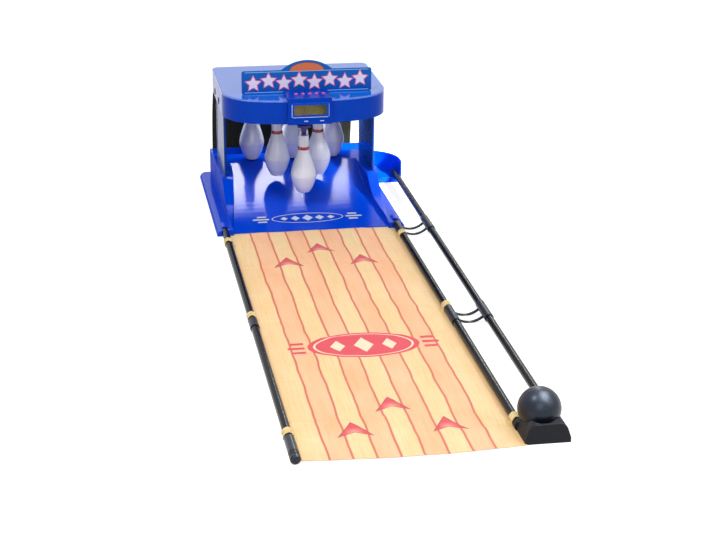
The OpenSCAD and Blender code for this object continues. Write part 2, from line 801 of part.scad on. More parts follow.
module pin_form() difference() {
    union() {
        rotate_extrude($fn = 72) polygon(concat([[0, 0]], pin_outline, [[0, neck_h]]));
        // Painted neck ring, a shade proud of the neck
        translate([0, 0, ring_z]) scale([pin_wide, pin_wide, 1]) rotate_extrude($fn = 72)
            polygon([[8, 0], [13.4, 0], [13.9, 2], [13.9, 5], [13.4, 7], [8, 7]]);
        // Fork
        for (s = [-1, 1]) intersection() {
            union() {
                translate([0, 0, pivot_h]) rotate([0, 90, 0])
                    cylinder(h = 60, r = fork_r, center = true, $fn = 48);
                block(-30, 30, -fork_r, fork_r, neck_h - 1, pivot_h);
            }
            block(min(s * fork_in, s * (fork_in + fork_t)), max(s * fork_in, s * (fork_in + fork_t)),
                -fork_r - 1, fork_r + 1, neck_h - 1, pin_h + 1);
        }
    }
    rod_x(-30, 30, 0, pivot_h, hinge_r + run_gap);
    // Mould mark in the foot
    translate([0, 0, -1]) cylinder(h = 2.5, r = 8, $fn = 40);
}

module bowling_pin(i) set_down() color("white") translate([pin_x(i), pin_y(i), pin_z(i)]) pin_form();

module hinge_pins() set_down() color("silver")
    for (i = [1:6]) {
        half = fork_in + fork_t + 1;
        rod_x(pin_x(i) - half, pin_x(i) + half, pin_y(i), pivot_z(i), hinge_r);
    }

// Rack: a raked plate with one tongue for each pin and four posts up to the beams
rack_rake = row_rise / row_pitch;
function rack_z(y) = pin_foot[0] + pivot_h + rack_up + (y - row_ys[0]) * rack_rake;

module pin_rack() set_down() color("navy") difference() {
    union() {
        y0 = row_ys[0] - 18;
        y1 = row_ys[2] + 32;
        intersection() {
            along_x(-rack_x, rack_x) polygon([
                [y0, rack_z(y0)], [y1, rack_z(y1)], [y1, rack_z(y1) + rack_t], [y0, rack_z(y0) + rack_t]
            ]);
            linear_extrude(roof_h) polygon([
                [-16, y0], [16, y0], [16, row_ys[0] + 14], [rack_x, row_ys[1] - 20], [rack_x, y1],
                [-rack_x, y1], [-rack_x, row_ys[1] - 20], [-16, row_ys[0] + 14]
            ]);
        }
        for (i = [1:6]) {
            half = fork_in - tongue_gap;
            rod_x(pin_x(i) - half, pin_x(i) + half, pin_y(i), pivot_z(i), fork_r - 0.5);
            block(pin_x(i) - half, pin_x(i) + half, pin_y(i) - fork_r + 0.5, pin_y(i) + fork_r - 0.5,
                pivot_z(i), rack_z(pin_y(i)) + 1);
            // Cheek plates in front of and behind the fork's swing
            for (s = [-1, 1])
                block(pin_x(i) - 15, pin_x(i) + 15, pin_y(i) + s * 15 - 1, pin_y(i) + s * 15 + 1,
                    rack_z(pin_y(i)) - 5, rack_z(pin_y(i) + s * 15) + 1);
        }
        for (x = [-rack_x + 6, rack_x - 6], y = beam_ys)
            if (y > row_ys[1] - 25) translate([x, y, rack_z(y) + 0.5])
                cylinder(h = beam_z - rack_z(y) - 0.5, r = 5, $fn = 32);
        // Arm from the front of the rack up to the front beam
        for (x = [-14, 14])
            block(x - 2, x + 2, beam_ys[0] - 14, beam_ys[0] + 4, rack_z(beam_ys[0] - 14) + 1, beam_z);
    }
    for (i = [1:6]) rod_x(pin_x(i) - 12, pin_x(i) + 12, pin_y(i), pivot_z(i), hinge_r + run_gap);
    for (x = [-rack_x + 6, rack_x - 6], y = beam_ys)
        if (y > row_ys[1] - 25) translate([x, y, rack_z(y) - 12])
            cylinder(h = roof_h - rack_z(y), r = 1.6, $fn = 32);
}

module rack_screws() set_down() color("silver")
    for (x = [-rack_x + 6, rack_x - 6]) {
        y = beam_ys[1];
        translate([x, y, rack_z(y) - 2.2]) cylinder(h = beam_z + 9 - rack_z(y), r = 1.5, $fn = 32);
        translate([x, y, rack_z(y - 6) - 2.2]) cylinder(h = 2, r = 3.4, $fn = 32);
    }

module switch_board() set_down() color("darkgreen") {
    y0 = row_ys[1] - 12;
    y1 = row_ys[2] + 16;
    along_x(-board_x, board_x) polygon([
        [y0, rack_z(y0) + rack_t], [y1, rack_z(y1) + rack_t],
        [y1, rack_z(y1) + rack_t + 1.6], [y0, rack_z(y0) + rack_t + 1.6]
    ]);
}

// One leaf switch beside each tongue, tripped by the fork
module trip_switches() set_down() color("black")
    for (i = [1:6]) {
        x = pin_x(i) + (fork_in + fork_t + 5) * (pin_x(i) > 0 ? -1 : 1);
        y = pin_y(i);
        z = rack_z(y - 5);
        block(x - 2.5, x + 2.5, y - 5, y + 5, z - 6.5, z - seat_gap);
        block(x - 0.5, x + 0.5, y - 10, y - 4.9, z - 6, z - 5.4);
    }

module ribbon_cable() set_down() color("gray") {
    z = cover_z - 1.4;
    block(-10, 10, console_y1 + seat_gap, beam_ys[0] - beam_t / 2 - 1, z - 1, z);
    block(-10, 10, beam_ys[0] - beam_t / 2 - 2, beam_ys[0] - beam_t / 2 - 1, beam_z - 6, z);
    block(-10, 10, beam_ys[0] - beam_t / 2 - 2, row_ys[1] - 12, beam_z - 7, beam_z - 6);
    block(-10, 10, row_ys[1] - 12, row_ys[1] - 11, rack_z(row_ys[1] - 11) + rack_t + 2, beam_z - 6);
}

// Sign card on two tabs
module sign_card() set_down() color("dodgerblue") translate([sign_x, 0, 0]) {
    along_y(sign_y - sign_t / 2, sign_y + sign_t / 2) {
        translate([0, roof_h + sign_h / 2]) rounded_plate(sign_w, sign_h, 5);
        intersection() {
            arch_r = (arch_w * arch_w / 4 + sign_rise * sign_rise) / (2 * sign_rise);
            translate([0, roof_h + sign_h + sign_rise - arch_r]) circle(arch_r, $fn = 160);
            translate([-arch_w, roof_h + sign_h - 12]) square([2 * arch_w, sign_rise + 20]);
        }
        for (x = [-sign_w / 3, sign_w / 3])
            translate([x - sign_tab / 2, cover_z - 2]) square([sign_tab, 8]);
    }
}

// Backstop cloth, hung from a rail at the back of the roof

module net_rail() set_down() color("silver")
    rod_x(net_x0 + 2, net_x1 - 2, net_rail_y, net_top_z, net_rail_r);

net_cols = 34;
net_rows = 8;
net_top = net_top_z - net_rail_r - 1.5 - seat_gap;
net_bag = 16;
net_hem = 12;
net_y0 = net_rail_y - net_t / 2;
net_y1 = base_d + seat_gap;

// The last row is the hem behind the base's rear wall
function net_point(i, k, side) = let (
    u = i / net_cols, v = min(1, k / (net_rows - 1)),
    fold = net_fold * (1 + cos(u * 360 * 7.5)) * sin(180 * v),
    y = net_y0 + (net_y1 - net_y0) * v + net_bag * sin(180 * v) + fold + side * net_t,
    z = k == net_rows ? net_low_z - net_hem : net_top + (net_low_z - net_top) * v
) [net_x0 + (net_x1 - net_x0) * u, y, z];

function net_id(side, k, i) = (side * (net_rows + 1) + k) * (net_cols + 1) + i;

module back_net() set_down() color([0.08, 0.08, 0.1]) {
    pts = [for (side = [0, 1], k = [0:net_rows], i = [0:net_cols]) net_point(i, k, side)];
    faces = concat(
        [for (k = [0:net_rows - 1], i = [0:net_cols - 1], f = [0, 1])
            f == 0 ? [net_id(0, k, i), net_id(0, k, i + 1), net_id(0, k + 1, i + 1)]
                   : [net_id(0, k, i), net_id(0, k + 1, i + 1), net_id(0, k + 1, i)]],
        [for (k = [0:net_rows - 1], i = [0:net_cols - 1], f = [0, 1])
            f == 0 ? [net_id(1, k, i), net_id(1, k + 1, i + 1), net_id(1, k, i + 1)]
                   : [net_id(1, k, i), net_id(1, k + 1, i), net_id(1, k + 1, i + 1)]],
        [for (i = [0:net_cols - 1], f = [0, 1])
            f == 0 ? [net_id(0, 0, i), net_id(1, 0, i), net_id(1, 0, i + 1)]
                   : [net_id(0, 0, i), net_id(1, 0, i + 1), net_id(0, 0, i + 1)]],
        [for (i = [0:net_cols - 1], f = [0, 1])
            f == 0 ? [net_id(0, net_rows, i), net_id(1, net_rows, i + 1), net_id(1, net_rows, i)]
                   : [net_id(0, net_rows, i), net_id(0, net_rows, i + 1), net_id(1, net_rows, i + 1)]],
        [for (k = [0:net_rows - 1], f = [0, 1])
            f == 0 ? [net_id(0, k, 0), net_id(0, k + 1, 0), net_id(1, k + 1, 0)]
                   : [net_id(0, k, 0), net_id(1, k + 1, 0), net_id(1, k, 0)]],
        [for (k = [0:net_rows - 1], f = [0, 1])
            f == 0 ? [net_id(0, k, net_cols), net_id(1, k + 1, net_cols), net_id(0, k + 1, net_cols)]
                   : [net_id(0, k, net_cols), net_id(1, k, net_cols), net_id(1, k + 1, net_cols)]]
    );
    polyhedron(pts, faces);
}

// Lane tubes on the left

module left_tube_rear() set_down() color("black") translate([-tube_x, 0, tube_z])
    tube(coupler_y + 1, socket_y + socket_l - base_wall - 1);

module left_tube_front() set_down() color("black") translate([-tube_x, 0, tube_z])
    tube(cap_front + cap_l - cap_in, coupler_y - 1);

module left_coupler() set_down() color("dimgray") translate([-tube_x, 0, tube_z]) difference() {
    rod_y(coupler_y - coupler_l / 2, coupler_y + coupler_l / 2, 0, 0, sleeve_r);
    rod_y(coupler_y + 0.9, coupler_y + coupler_l, 0, 0, tube_r + run_gap);
    rod_y(coupler_y - coupler_l, coupler_y - 0.9, 0, 0, tube_r + run_gap);
    rod_y(coupler_y - 5, coupler_y + 5, 0, 0, bore_r);
}

module left_end_cap() set_down() color("black") translate([-tube_x, 0, tube_z]) difference() {
    union() {
        rod_y(cap_front + 3, cap_front + cap_l, 0, 0, sleeve_r);
        translate([0, cap_front, 0]) rotate([-90, 0, 0])
            cylinder(h = 3.1, r1 = sleeve_r - 2.5, r2 = sleeve_r, $fn = 48);
    }
    rod_y(cap_front + cap_l - cap_in - 1, cap_front + cap_l + 1, 0, 0, tube_r + run_gap);
    // Finger grooves round the nose
    for (k = [0:2]) translate([0, cap_front + 8 + 7 * k, 0]) rotate([-90, 0, 0]) difference() {
        cylinder(h = 3, r = sleeve_r + 1, $fn = 48);
        translate([0, 0, -1]) cylinder(h = 5, r = sleeve_r - 1.4, $fn = 48);
    }
}

// Return track

module inner_rail_stub() set_down() color("black") translate([tube_x, 0, tube_z])
    tube(bridge_y1 + 1, socket_y + socket_l - base_wall - 1);

module inner_rail_rear() set_down() color("black") translate([tube_x, 0, tube_z])
    tube(bridge_y2 + 1, bridge_y1 - 1);

module inner_rail_front() set_down() color("black") translate([tube_x, 0, tube_z])
    tube(rail_end, bridge_y2 - 1);

module outer_rail_top() set_down() color("black") outer_tube(bridge_y1 + 1, track_y1 - 1);
module outer_rail_rear() set_down() color("black") outer_tube(bridge_y2 + 1, bridge_y1 - 1);
module outer_rail_front() set_down() color("black") outer_tube(rail_end, bridge_y2 - 1);

// Height of the outer tube's axis at y, and the ball's centre on the track there
function outer_z(y) = track_low_z + (y - rail_end) * tan(rail_tilt);
function ball_at(y) = let (
    d = [track_gap, outer_z(y) - tube_z],
    h = sqrt(pow(ball_r + tube_r, 2) - pow(norm(d) / 2, 2))
) [tube_x + d[0] / 2 - d[1] / norm(d) * h, tube_z + d[1] / 2 + d[0] / norm(d) * h];

// A bridge joins the track tubes; its two struts dip under the ball's path
function inner_sleeve(y) = y > loop_ys[0]
    ? [loop_ys[0] + loop_w / 2 + 1, foot_front_y - 1]
    : [y - sleeve_l / 2, loop_ys[1] - loop_w / 2 - 1];

module track_bridge(y) difference() {
    c = ball_at(y);
    r0 = ball_r + 2.6;
    union() {
        rod_y(inner_sleeve(y)[0], inner_sleeve(y)[1], tube_x, tube_z, sleeve_r);
        on_outer_rail() rod_y(y - sleeve_l / 2, y + sleeve_l / 2, 0, 0, sleeve_r);
        for (s = [-1, 1]) along_y(y + (s * strut_gap - strut_w) / 2, y + (s * strut_gap + strut_w) / 2)
            intersection() {
                difference() {
                    translate(c) circle(r0 + strut_t, $fn = 120);
                    translate(c) circle(r0, $fn = 120);
                }
                translate([tube_x + 4, seat_gap]) square([track_gap - 8, outer_z(y) + 6]);
            }
    }
    rod_y(y + 0.9, y + sleeve_l, tube_x, tube_z, tube_r + run_gap);
    rod_y(y - sleeve_l, y - 0.9, tube_x, tube_z, tube_r + run_gap);
    rod_y(y - 5, y + 5, tube_x, tube_z, bore_r);
    on_outer_rail() {
        rod_y(y + 0.9, y + sleeve_l, 0, 0, tube_r + run_gap);
        rod_y(y - sleeve_l, y - 0.9, 0, 0, tube_r + run_gap);
        rod_y(y - 5, y + 5, 0, 0, bore_r);
    }
}

module bridge_rear() set_down() color("dimgray") track_bridge(bridge_y1);
module bridge_front() set_down() color("dimgray") track_bridge(bridge_y2);

module cradle_outline() hull() {
    translate([-cradle_w / 2, 0]) square([cradle_w, cradle_h / 4]);
    for (s = [-1, 1]) translate([s * (cradle_w / 2 - cradle_round - 5), cradle_h - cradle_round])
        circle(cradle_round, $fn = 64);
}

module ball_cradle() set_down() color("dimgray") difference() {
    union() {
        translate([cradle_cx, 0, 0]) along_y(cradle_front, cradle_back) cradle_outline();
        // Collars and pegs for the two track tubes
        rod_y(cradle_back - 14, cradle_back, tube_x, tube_z, sleeve_r);
        rod_y(cradle_back - 4, cradle_back + 16, tube_x, tube_z, bore_r - run_gap);
        on_outer_rail() {
            rod_y(cradle_back - 14, cradle_back, 0, 0, sleeve_r);
            rod_y(cradle_back - 4, cradle_back + 16, 0, 0, bore_r - run_gap);
        }
    }
    translate([ball_x, ball_y, ball_z]) sphere(ball_r + seat_gap, $fn = 96);
    rod_y(ball_y, cradle_back + 20, ball_x, ball_z, ball_r - seat_gap);
    // Sloped back of the cheeks
    along_x(cradle_cx - 60, cradle_cx + 60) polygon([
        [cradle_back + 30, 20], [cradle_back - 2, 20], [cradle_front + 24, cradle_h + 1],
        [cradle_back + 30, cradle_h + 1]
    ]);
    // Groove that parts the front lip from the cheeks
    along_x(cradle_cx - 60, cradle_cx + 60) polygon([
        [cradle_front + 5.5, cradle_h + 1], [cradle_front + 8, cradle_h - 15],
        [cradle_front + 10, cradle_h - 15], [cradle_front + 23, cradle_h + 1]
    ]);
    // Hollow underside of the front wall
    block(cradle_cx - cradle_w / 2 + 16, cradle_cx + cradle_w / 2 - 16, cradle_front + 4,
        cradle_front + 11, -1, cradle_h / 2 - 2);
}

module ball() set_down() color("black") translate([ball_x, ball_y, ball_z]) sphere(ball_r, $fn = 96);

// Lane cloth and its loops

mat_x = tube_x - 7;
function mat_edge(y) = mat_x - mat_draw * pow(sin(180 * clamp01(mat_span(y))), 0.8);
function mat_span(y) = y > loop_ys[0] ? 0
    : y > loop_ys[1] ? (y - loop_ys[0]) / (loop_ys[1] - loop_ys[0])
    : y > loop_ys[2] ? (y - loop_ys[1]) / (loop_ys[2] - loop_ys[1]) : 0;

module lane_mat() set_down() color("navajowhite") linear_extrude(mat_t) polygon(concat(
    [for (y = steps(-seat_gap, -mat_l, 44)) [mat_edge(y), y]],
    [for (t = steps(1, -1, 16)) [mat_x * t, -mat_l - mat_bow * (1 - t * t)]],
    [for (y = steps(-mat_l, -seat_gap, 44)) [-mat_edge(y), y]]
));

module cloth_loop(y) along_y(y - loop_w / 2, y + loop_w / 2) difference() {
    union() {
        translate([tube_x, tube_z]) circle(tube_r + seat_gap + mat_t, $fn = 64);
        translate([tube_x - 24, mat_t + seat_gap]) square([20, mat_t]);
    }
    translate([tube_x, tube_z]) circle(tube_r + seat_gap, $fn = 64);
}

module right_loops() set_down() color("wheat") for (y = loop_ys) cloth_loop(y);
module left_loops() set_down() color("wheat") mirror([1, 0, 0]) for (y = loop_ys) cloth_loop(y);

base_shell();
rubber_feet();
ball_gutter();
return_chute();
left_panel();
right_panel();
canopy_frame();
roof_cover();
cabinet_screws();
console_housing();
lcd_bezel();
lcd_window();
lcd_module();
main_board();
button_board();
speaker();
battery_cells();
battery_contacts();
battery_door();
pin_rack();
rack_screws();
hinge_pins();
switch_board();
trip_switches();
ribbon_cable();
sign_card();
net_rail();
back_net();
left_tube_rear();
left_tube_front();
left_coupler();
left_end_cap();
inner_rail_stub();
inner_rail_rear();
inner_rail_front();
outer_rail_top();
outer_rail_rear();
outer_rail_front();
bridge_rear();
bridge_front();
ball_cradle();
ball();
lane_mat();
left_loops();
right_loops();
bowling_pin(1);  // pin_1
bowling_pin(2);  // pin_2
bowling_pin(3);  // pin_3
bowling_pin(4);  // pin_4
bowling_pin(5);  // pin_5
bowling_pin(6);  // pin_6
push_button(1);  // button_1
push_button(2);  // button_2
push_button(3);  // button_3
push_button(4);  // button_4
push_button(5);  // button_5
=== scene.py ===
"""Looks of a table bowling game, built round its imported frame.

Laid out as an add-on: settings, one operator for each group of pieces, one panel.
Lane frame: X = 0 on the lane's axis, Y = 0 at the ramp's front edge, millimetres.
"""

from functools import cache, partialmethod
from math import atan2, copysign, cos, exp, hypot, pi, radians, sin

import bmesh
import bpy
import numpy as np
from mathutils import Matrix, Vector, noise


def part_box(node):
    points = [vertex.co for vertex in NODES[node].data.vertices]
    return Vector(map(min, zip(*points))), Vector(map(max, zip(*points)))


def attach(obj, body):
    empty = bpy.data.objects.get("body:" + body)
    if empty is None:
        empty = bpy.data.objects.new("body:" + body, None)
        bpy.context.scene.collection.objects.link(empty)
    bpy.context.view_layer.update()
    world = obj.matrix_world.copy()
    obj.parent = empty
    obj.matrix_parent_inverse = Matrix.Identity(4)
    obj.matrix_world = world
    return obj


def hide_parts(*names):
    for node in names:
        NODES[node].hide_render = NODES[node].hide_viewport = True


bl_info = {
    "name": "Table bowling game",
    "version": (1, 0, 0),
    "blender": (4, 5, 0),
    "location": "3D View > Sidebar > Bowling",
    "description": "Dresses the packed frame: lane cloth, cabinet, pins and ball return",
    "category": "Object",
}

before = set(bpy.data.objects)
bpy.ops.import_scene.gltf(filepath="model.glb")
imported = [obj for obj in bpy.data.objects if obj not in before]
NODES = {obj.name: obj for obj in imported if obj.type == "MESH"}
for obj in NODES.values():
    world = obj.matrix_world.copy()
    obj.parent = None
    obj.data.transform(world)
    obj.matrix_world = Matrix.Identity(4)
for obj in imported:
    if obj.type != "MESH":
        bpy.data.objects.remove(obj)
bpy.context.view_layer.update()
BODY = "cabinet_and_track"
MM = 0.001

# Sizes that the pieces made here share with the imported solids, in millimetres
TUBE_X, TUBE_Z, TUBE_R = 203.0, 9.8, 8.0
LOOP_YS = (-84.0, -553.0, -1108.0)
LOOP_W = 24.0
MAT_X = 201.0  # half the width
MAT_L = 1197.0  # length at the sides
MAT_BOW = 11.0  # how much longer the middle is
MAT_DRAW = 2.0  # how far a side draws in between two loops
MAT_END = 0.3  # gap to the ramp

# Places and sizes of what is printed, sewn and hung, in millimetres
HEM = 8.0
HEM_SEAM_X = 188.5
FOLD_YS = (-232.0, -441.0, -668.0, -871.0, -1046.0)
ARROWS = ((0, -94), (85, -183), (0, -960), (85, -1057))  # x and y of the tips
MARK_Y = -712.0
RAMP_MARK_Y = 60.0
PIN_BELT_Z = 38.0
PIN_RING_Z = (104.6, 112.4)
NET_FOOT = (466.1, 79.0)  # y and z where the backstop's fall ends
NET_HEM = 12.0
NET_WIDER = 8.0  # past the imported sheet's right edge

MAT_LO, MAT_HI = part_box("lane_mat")
LANE_X = (MAT_LO.x + MAT_HI.x) / 2
RAMP_Y = MAT_HI.y + MAT_END * MM

# The rays that a lamp is hidden from, so that only its gloss or only its light shows
GLOSS_ONLY = ("camera", "diffuse", "transmission")
LIGHT_ONLY = ("camera", "glossy", "transmission")


def at(x, y, z=0.0):
    """A point of the lane frame, in millimetres, as metres of the shared frame."""
    return Vector((LANE_X + x * MM, RAMP_Y + y * MM, z * MM))


def lane_box(node):
    """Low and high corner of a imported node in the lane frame, in millimetres."""
    return tuple(Vector(((v.x - LANE_X) / MM, (v.y - RAMP_Y) / MM, v.z / MM))
                 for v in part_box(node))


def rgb(r, g, b):
    """A screen colour, 0 to 255, as the linear colour that shaders take."""
    def one(v):
        v /= 255
        return v / 12.92 if v <= 0.04045 else ((v + 0.055) / 1.055) ** 2.4
    return one(r), one(g), one(b)


def middle(lo, hi):
    return tuple((a + b) / 2 for a, b in zip(lo, hi))


# Settings


def size(name, text, value, low, high):
    return bpy.props.FloatProperty(
        name=name, description=text, default=value, min=low, max=high,
        subtype="DISTANCE", unit="LENGTH", precision=4)


def share(name, text, value):
    return bpy.props.FloatProperty(
        name=name, description=text, default=value, min=0.0, max=1.0, subtype="FACTOR")


def power(name, lamp, value):
    return bpy.props.FloatProperty(
        name=name, description=f"Power of the {lamp}", default=value, min=0.0, unit="POWER")


def tint(name, things, r, g, b):
    return bpy.props.FloatVectorProperty(
        name=name, description=f"Colour of the {things}", default=rgb(r, g, b),
        min=0.0, max=1.0, size=3, subtype="COLOR")


class LaneSettings(bpy.types.PropertyGroup):
    plank: size("Plank width", "Distance between two printed plank lines", 0.0414, 0.02, 0.08)
    line: size("Line width", "Width of a printed plank line", 0.0042, 0.001, 0.006)
    wander: size("Line wander", "How far the printed lines stray sideways", 0.0034, 0.0, 0.01)
    wrinkle: size("Wrinkle height", "Height of the broad wrinkles", 0.0016, 0.0, 0.005)
    pale: tint("Pale plank", "pale planks", 249, 209, 157)
    warm: tint("Warm plank", "warm planks", 250, 191, 143)
    red: tint("Line red", "plank lines", 206, 84, 66)
    mark: tint("Arrow red", "arrows and the centre mark", 222, 58, 76)
    loop: tint("Loop cloth", "sewn loops", 240, 216, 150)


class CabinetSettings(bpy.types.PropertyGroup):
    shell: tint("Base blue", "ramp, base and chute", 0, 66, 210)
    roof: tint("Roof blue", "roof cover", 0, 104, 222)
    band: tint("Band blue", "roof band and the console", 0, 60, 182)
    panel: tint("Panel blue", "side panels", 8, 58, 140)
    rack: tint("Rack blue", "pin rack", 6, 40, 140)
    # The screw cups' dark navy is painted shade, standing for the shade inside recessed screw
    # holes.
    cup_shade: tint("Screw cups", "cups round the roof screws", 10, 34, 92)
    net: tint("Backstop", "backstop cloth", 34, 35, 27)
    edge: size("Edge round", "Radius of the moulded edges", 0.0009, 0.0, 0.003)


class PinSettings(bpy.types.PropertyGroup):
    # The pins are white; this pale blue-grey adds painted shade and blue bounce light from the
    # cabinet.
    body: tint("Pin white", "pins", 224, 228, 242)
    ring: tint("Neck ring", "painted neck ring", 158, 28, 30)


class TrackSettings(bpy.types.PropertyGroup):
    tube: tint("Tube black", "tubes", 6, 8, 12)
    sleeve: tint("Sleeve black", "sleeves and bridges", 26, 32, 42)
    cradle: tint("Cradle grey", "ball cradle", 36, 37, 41)
    ball: tint("Ball black", "ball", 16, 20, 27)


class StageSettings(bpy.types.PropertyGroup):
    key: power("Key lamp", "key lamp", 40.0)
    fill: power("Fill lamp", "fill lamp", 26.0)
    front: power("Front lamp", "low front lamp", 13.0)
    sheen: power("Ramp sheen", "lamp that only shows as a sheen", 0.17)
    side: power("Side lamp", "narrow lamp on the chute's side", 2.4)
    rear: power("Rear light", "light that comes in from the rear", 0.5)
    streak: power("Streak lamp", "strip that only shows as a gloss", 26.0)
    gleam: power("Ball gleam", "lamp that only shows on the ball", 8.0)
    sky: share("Soft light", "Strength of the even light from all round", 0.5)


# Shader helpers


class Graph:
    """Adds nodes to one node tree."""

    def __init__(self, tree):
        self.tree = tree

    def node(self, kind, feed=None, **settings):
        n = self.tree.nodes.new(kind)
        for key, value in settings.items():
            setattr(n, key, value)
        for key, value in (feed or {}).items():
            self.put(n.inputs[key], value)
        return n

    def put(self, socket, value):
        """Links a socket or sets its value; a colour's alpha is 1."""
        if isinstance(value, bpy.types.NodeSocket):
            self.tree.links.new(value, socket)
        elif socket.type == "RGBA":
            socket.default_value = tuple(value)[:3] + (1.0,)
        else:
            socket.default_value = value

    def math(self, operation, *values, clamp=False):
        return self.node("ShaderNodeMath", dict(enumerate(values)),
                         operation=operation, use_clamp=clamp).outputs[0]

    add = partialmethod(math, "ADD")
    sub = partialmethod(math, "SUBTRACT")
    mul = partialmethod(math, "MULTIPLY")
    div = partialmethod(math, "DIVIDE")
    min = partialmethod(math, "MINIMUM")
    max = partialmethod(math, "MAXIMUM")
    abs = partialmethod(math, "ABSOLUTE")
    flip = partialmethod(math, "SUBTRACT", 1.0)

    def step(self, value, edge, soft):
        """0 below edge and 1 above it, over a width of soft."""
        return self.add(self.div(self.sub(value, edge), soft), 0.5, clamp=True)

    def under(self, value, edge, soft):
        """1 below edge and 0 above it, over a width of soft."""
        return self.flip(self.step(value, edge, soft))

    def mix(self, mask, a, b, strength=None):
        """a with b over it where mask is 1, at that strength."""
        if strength is not None:
            mask = self.mul(mask, strength)
        return self.node("ShaderNodeMix", {0: mask, 6: a, 7: b},
                         data_type="RGBA").outputs[2]

    def ramp(self, value, low, high, start=0.0, end=1.0):
        """From start, where value is low, to end, where it is high."""
        n = self.node("ShaderNodeValToRGB", {0: value})
        for e, place, level in zip(n.color_ramp.elements, (low, high), (start, end)):
            e.position, e.color = place, (level, level, level, 1)
        return n.outputs[0]

    def noise(self, vector, scale, detail=2.0, roughness=0.5):
        return self.node("ShaderNodeTexNoise", {
            "Vector": vector, "Scale": scale, "Detail": detail,
            "Roughness": roughness}).outputs[0]

    def streaks(self, vector, scale, detail=2.0, roughness=0.5, shift=(0, 0, 0)):
        """Noise with its own scale along each axis."""
        return self.noise(self.mapping(vector, scale, shift), 1.0, detail, roughness)

    def bands(self, vector, direction, scale, **feed):
        return self.node("ShaderNodeTexWave", {"Vector": vector, "Scale": scale, **feed},
                         wave_type="BANDS", bands_direction=direction).outputs[1]

    def mapping(self, vector, scale=(1, 1, 1), location=(0, 0, 0)):
        return self.node("ShaderNodeMapping", {"Vector": vector, "Scale": scale,
                                               "Location": location}).outputs[0]

    def place(self):
        return self.node("ShaderNodeTexCoord").outputs["Object"]

    def xyz(self, vector):
        return self.node("ShaderNodeSeparateXYZ", {0: vector}).outputs

    def normal(self):
        return self.node("ShaderNodeNewGeometry").outputs["Normal"]

    def use(self, tree, **feed):
        """The outputs of a node group."""
        return self.node("ShaderNodeGroup", {k.replace("_", " "): v for k, v in feed.items()},
                         node_tree=tree).outputs

    def bump(self, height, strength, distance, normal=None):
        feed = {"Height": height, "Strength": strength, "Distance": distance}
        if normal is not None:
            feed["Normal"] = normal
        return self.node("ShaderNodeBump", feed).outputs[0]

    def seen(self):
        """1 for what the camera sees, also in a mirror image or through a window."""
        ray = self.node("ShaderNodeLightPath").outputs
        return self.max(ray["Is Camera Ray"],
                        self.max(ray["Is Glossy Ray"], ray["Is Transmission Ray"]))


def group(**inputs):
    """Makes a builder's node group, once; inputs are values, or None for a vector."""
    def wrap(build):
        @cache
        def made():
            tree = bpy.data.node_groups.new(build.__name__, "ShaderNodeTree")

            def socket(label, direction, vector):
                return tree.interface.new_socket(
                    label.replace("_", " "), in_out=direction,
                    socket_type="NodeSocketVector" if vector else "NodeSocketFloat")

            for label, value in inputs.items():
                entry = socket(label, "INPUT", value is None)
                if value is not None:
                    entry.default_value = value
            g = Graph(tree)
            results = build(g, g.node("NodeGroupInput").outputs)
            for label, value in results.items():
                socket(label, "OUTPUT", value.type == "VECTOR")
            g.node("NodeGroupOutput", results)
            return tree
        return made
    return wrap


@group(Vector=None, Grain=0.2, Wave=1.0)
def moulded_skin(g, i):
    """Fine grain and slow waviness of a moulded surface."""
    fine = g.noise(i["Vector"], 900.0, 3.0)
    slow = g.noise(i["Vector"], 14.0, 1.0)
    tone = g.noise(i["Vector"], 9.0, 4.0, 0.6)
    return {"Height": g.add(g.mul(fine, i["Grain"]), g.mul(slow, i["Wave"])),
            "Tone": g.ramp(tone, 0.3, 0.7)}


@group(Vector=None, Edge=0.0009)
def handling_wear(g, i):
    """Rubbed edges, fine scratches and the normal of a slightly rounded edge."""
    rounded = g.node("ShaderNodeBevel", {"Radius": i["Edge"]}, samples=4).outputs[0]
    turned = g.node("ShaderNodeVectorMath", {0: rounded, 1: g.normal()},
                    operation="DOT_PRODUCT").outputs["Value"]
    rub = g.flip(g.ramp(turned, 0.80, 0.995))
    patchy = g.ramp(g.noise(i["Vector"], 60.0, 3.0), 0.42, 0.66)
    lines = g.ramp(g.streaks(i["Vector"], (35, 420, 35)), 0.62, 0.68)
    scatter = g.ramp(g.noise(i["Vector"], 7.0), 0.5, 0.72)
    return {"Rub": g.mul(rub, patchy), "Scratch": g.mul(lines, scatter), "Normal": rounded}


@group(Vector=None)
def settled_dust(g, i):
    """Dust on faces that look up."""
    upward = g.ramp(g.xyz(g.normal())[2], 0.6, 0.98)
    specks = g.ramp(g.noise(i["Vector"], 340.0, 3.0, 0.6), 0.5, 0.72)
    drift = g.ramp(g.noise(i["Vector"], 16.0, 3.0), 0.35, 0.7, start=0.1)
    return {"Dust": g.mul(upward, g.mul(specks, drift))}


@group(Vector=None, Pitch=300.0)
def woven_threads(g, i):
    """Height and shade of a plain weave."""
    warp, weft = (g.bands(i["Vector"], axis, i["Pitch"], Distortion=0.6, Detail=1.0)
                  for axis in "XY")
    slub = g.streaks(i["Vector"], (60, 900, 60))
    return {"Height": g.add(g.max(warp, weft), g.mul(slub, 0.3)),
            "Shade": g.mul(warp, weft), "Slub": slub}


class Surface(Graph):
    """A new material, whose Principled shader has the given plain values."""

    def __init__(self, name, shine=0.5, **principled):
        self.material = bpy.data.materials.new(name)
        self.material.use_nodes = True
        super().__init__(self.material.node_tree)
        self.out = self.tree.nodes["Principled BSDF"].inputs
        for key, value in {"Specular IOR Level": shine, **principled}.items():
            self.put(self.out[key.replace("_", " ")], value)

    def finish(self, colour, rough, normal=None):
        """The material, with its colour, roughness and normal fed."""
        self.put(self.out["Base Color"], colour)
        self.put(self.out["Roughness"], rough)
        if normal is not None:
            self.put(self.out["Normal"], normal)
        return self.material


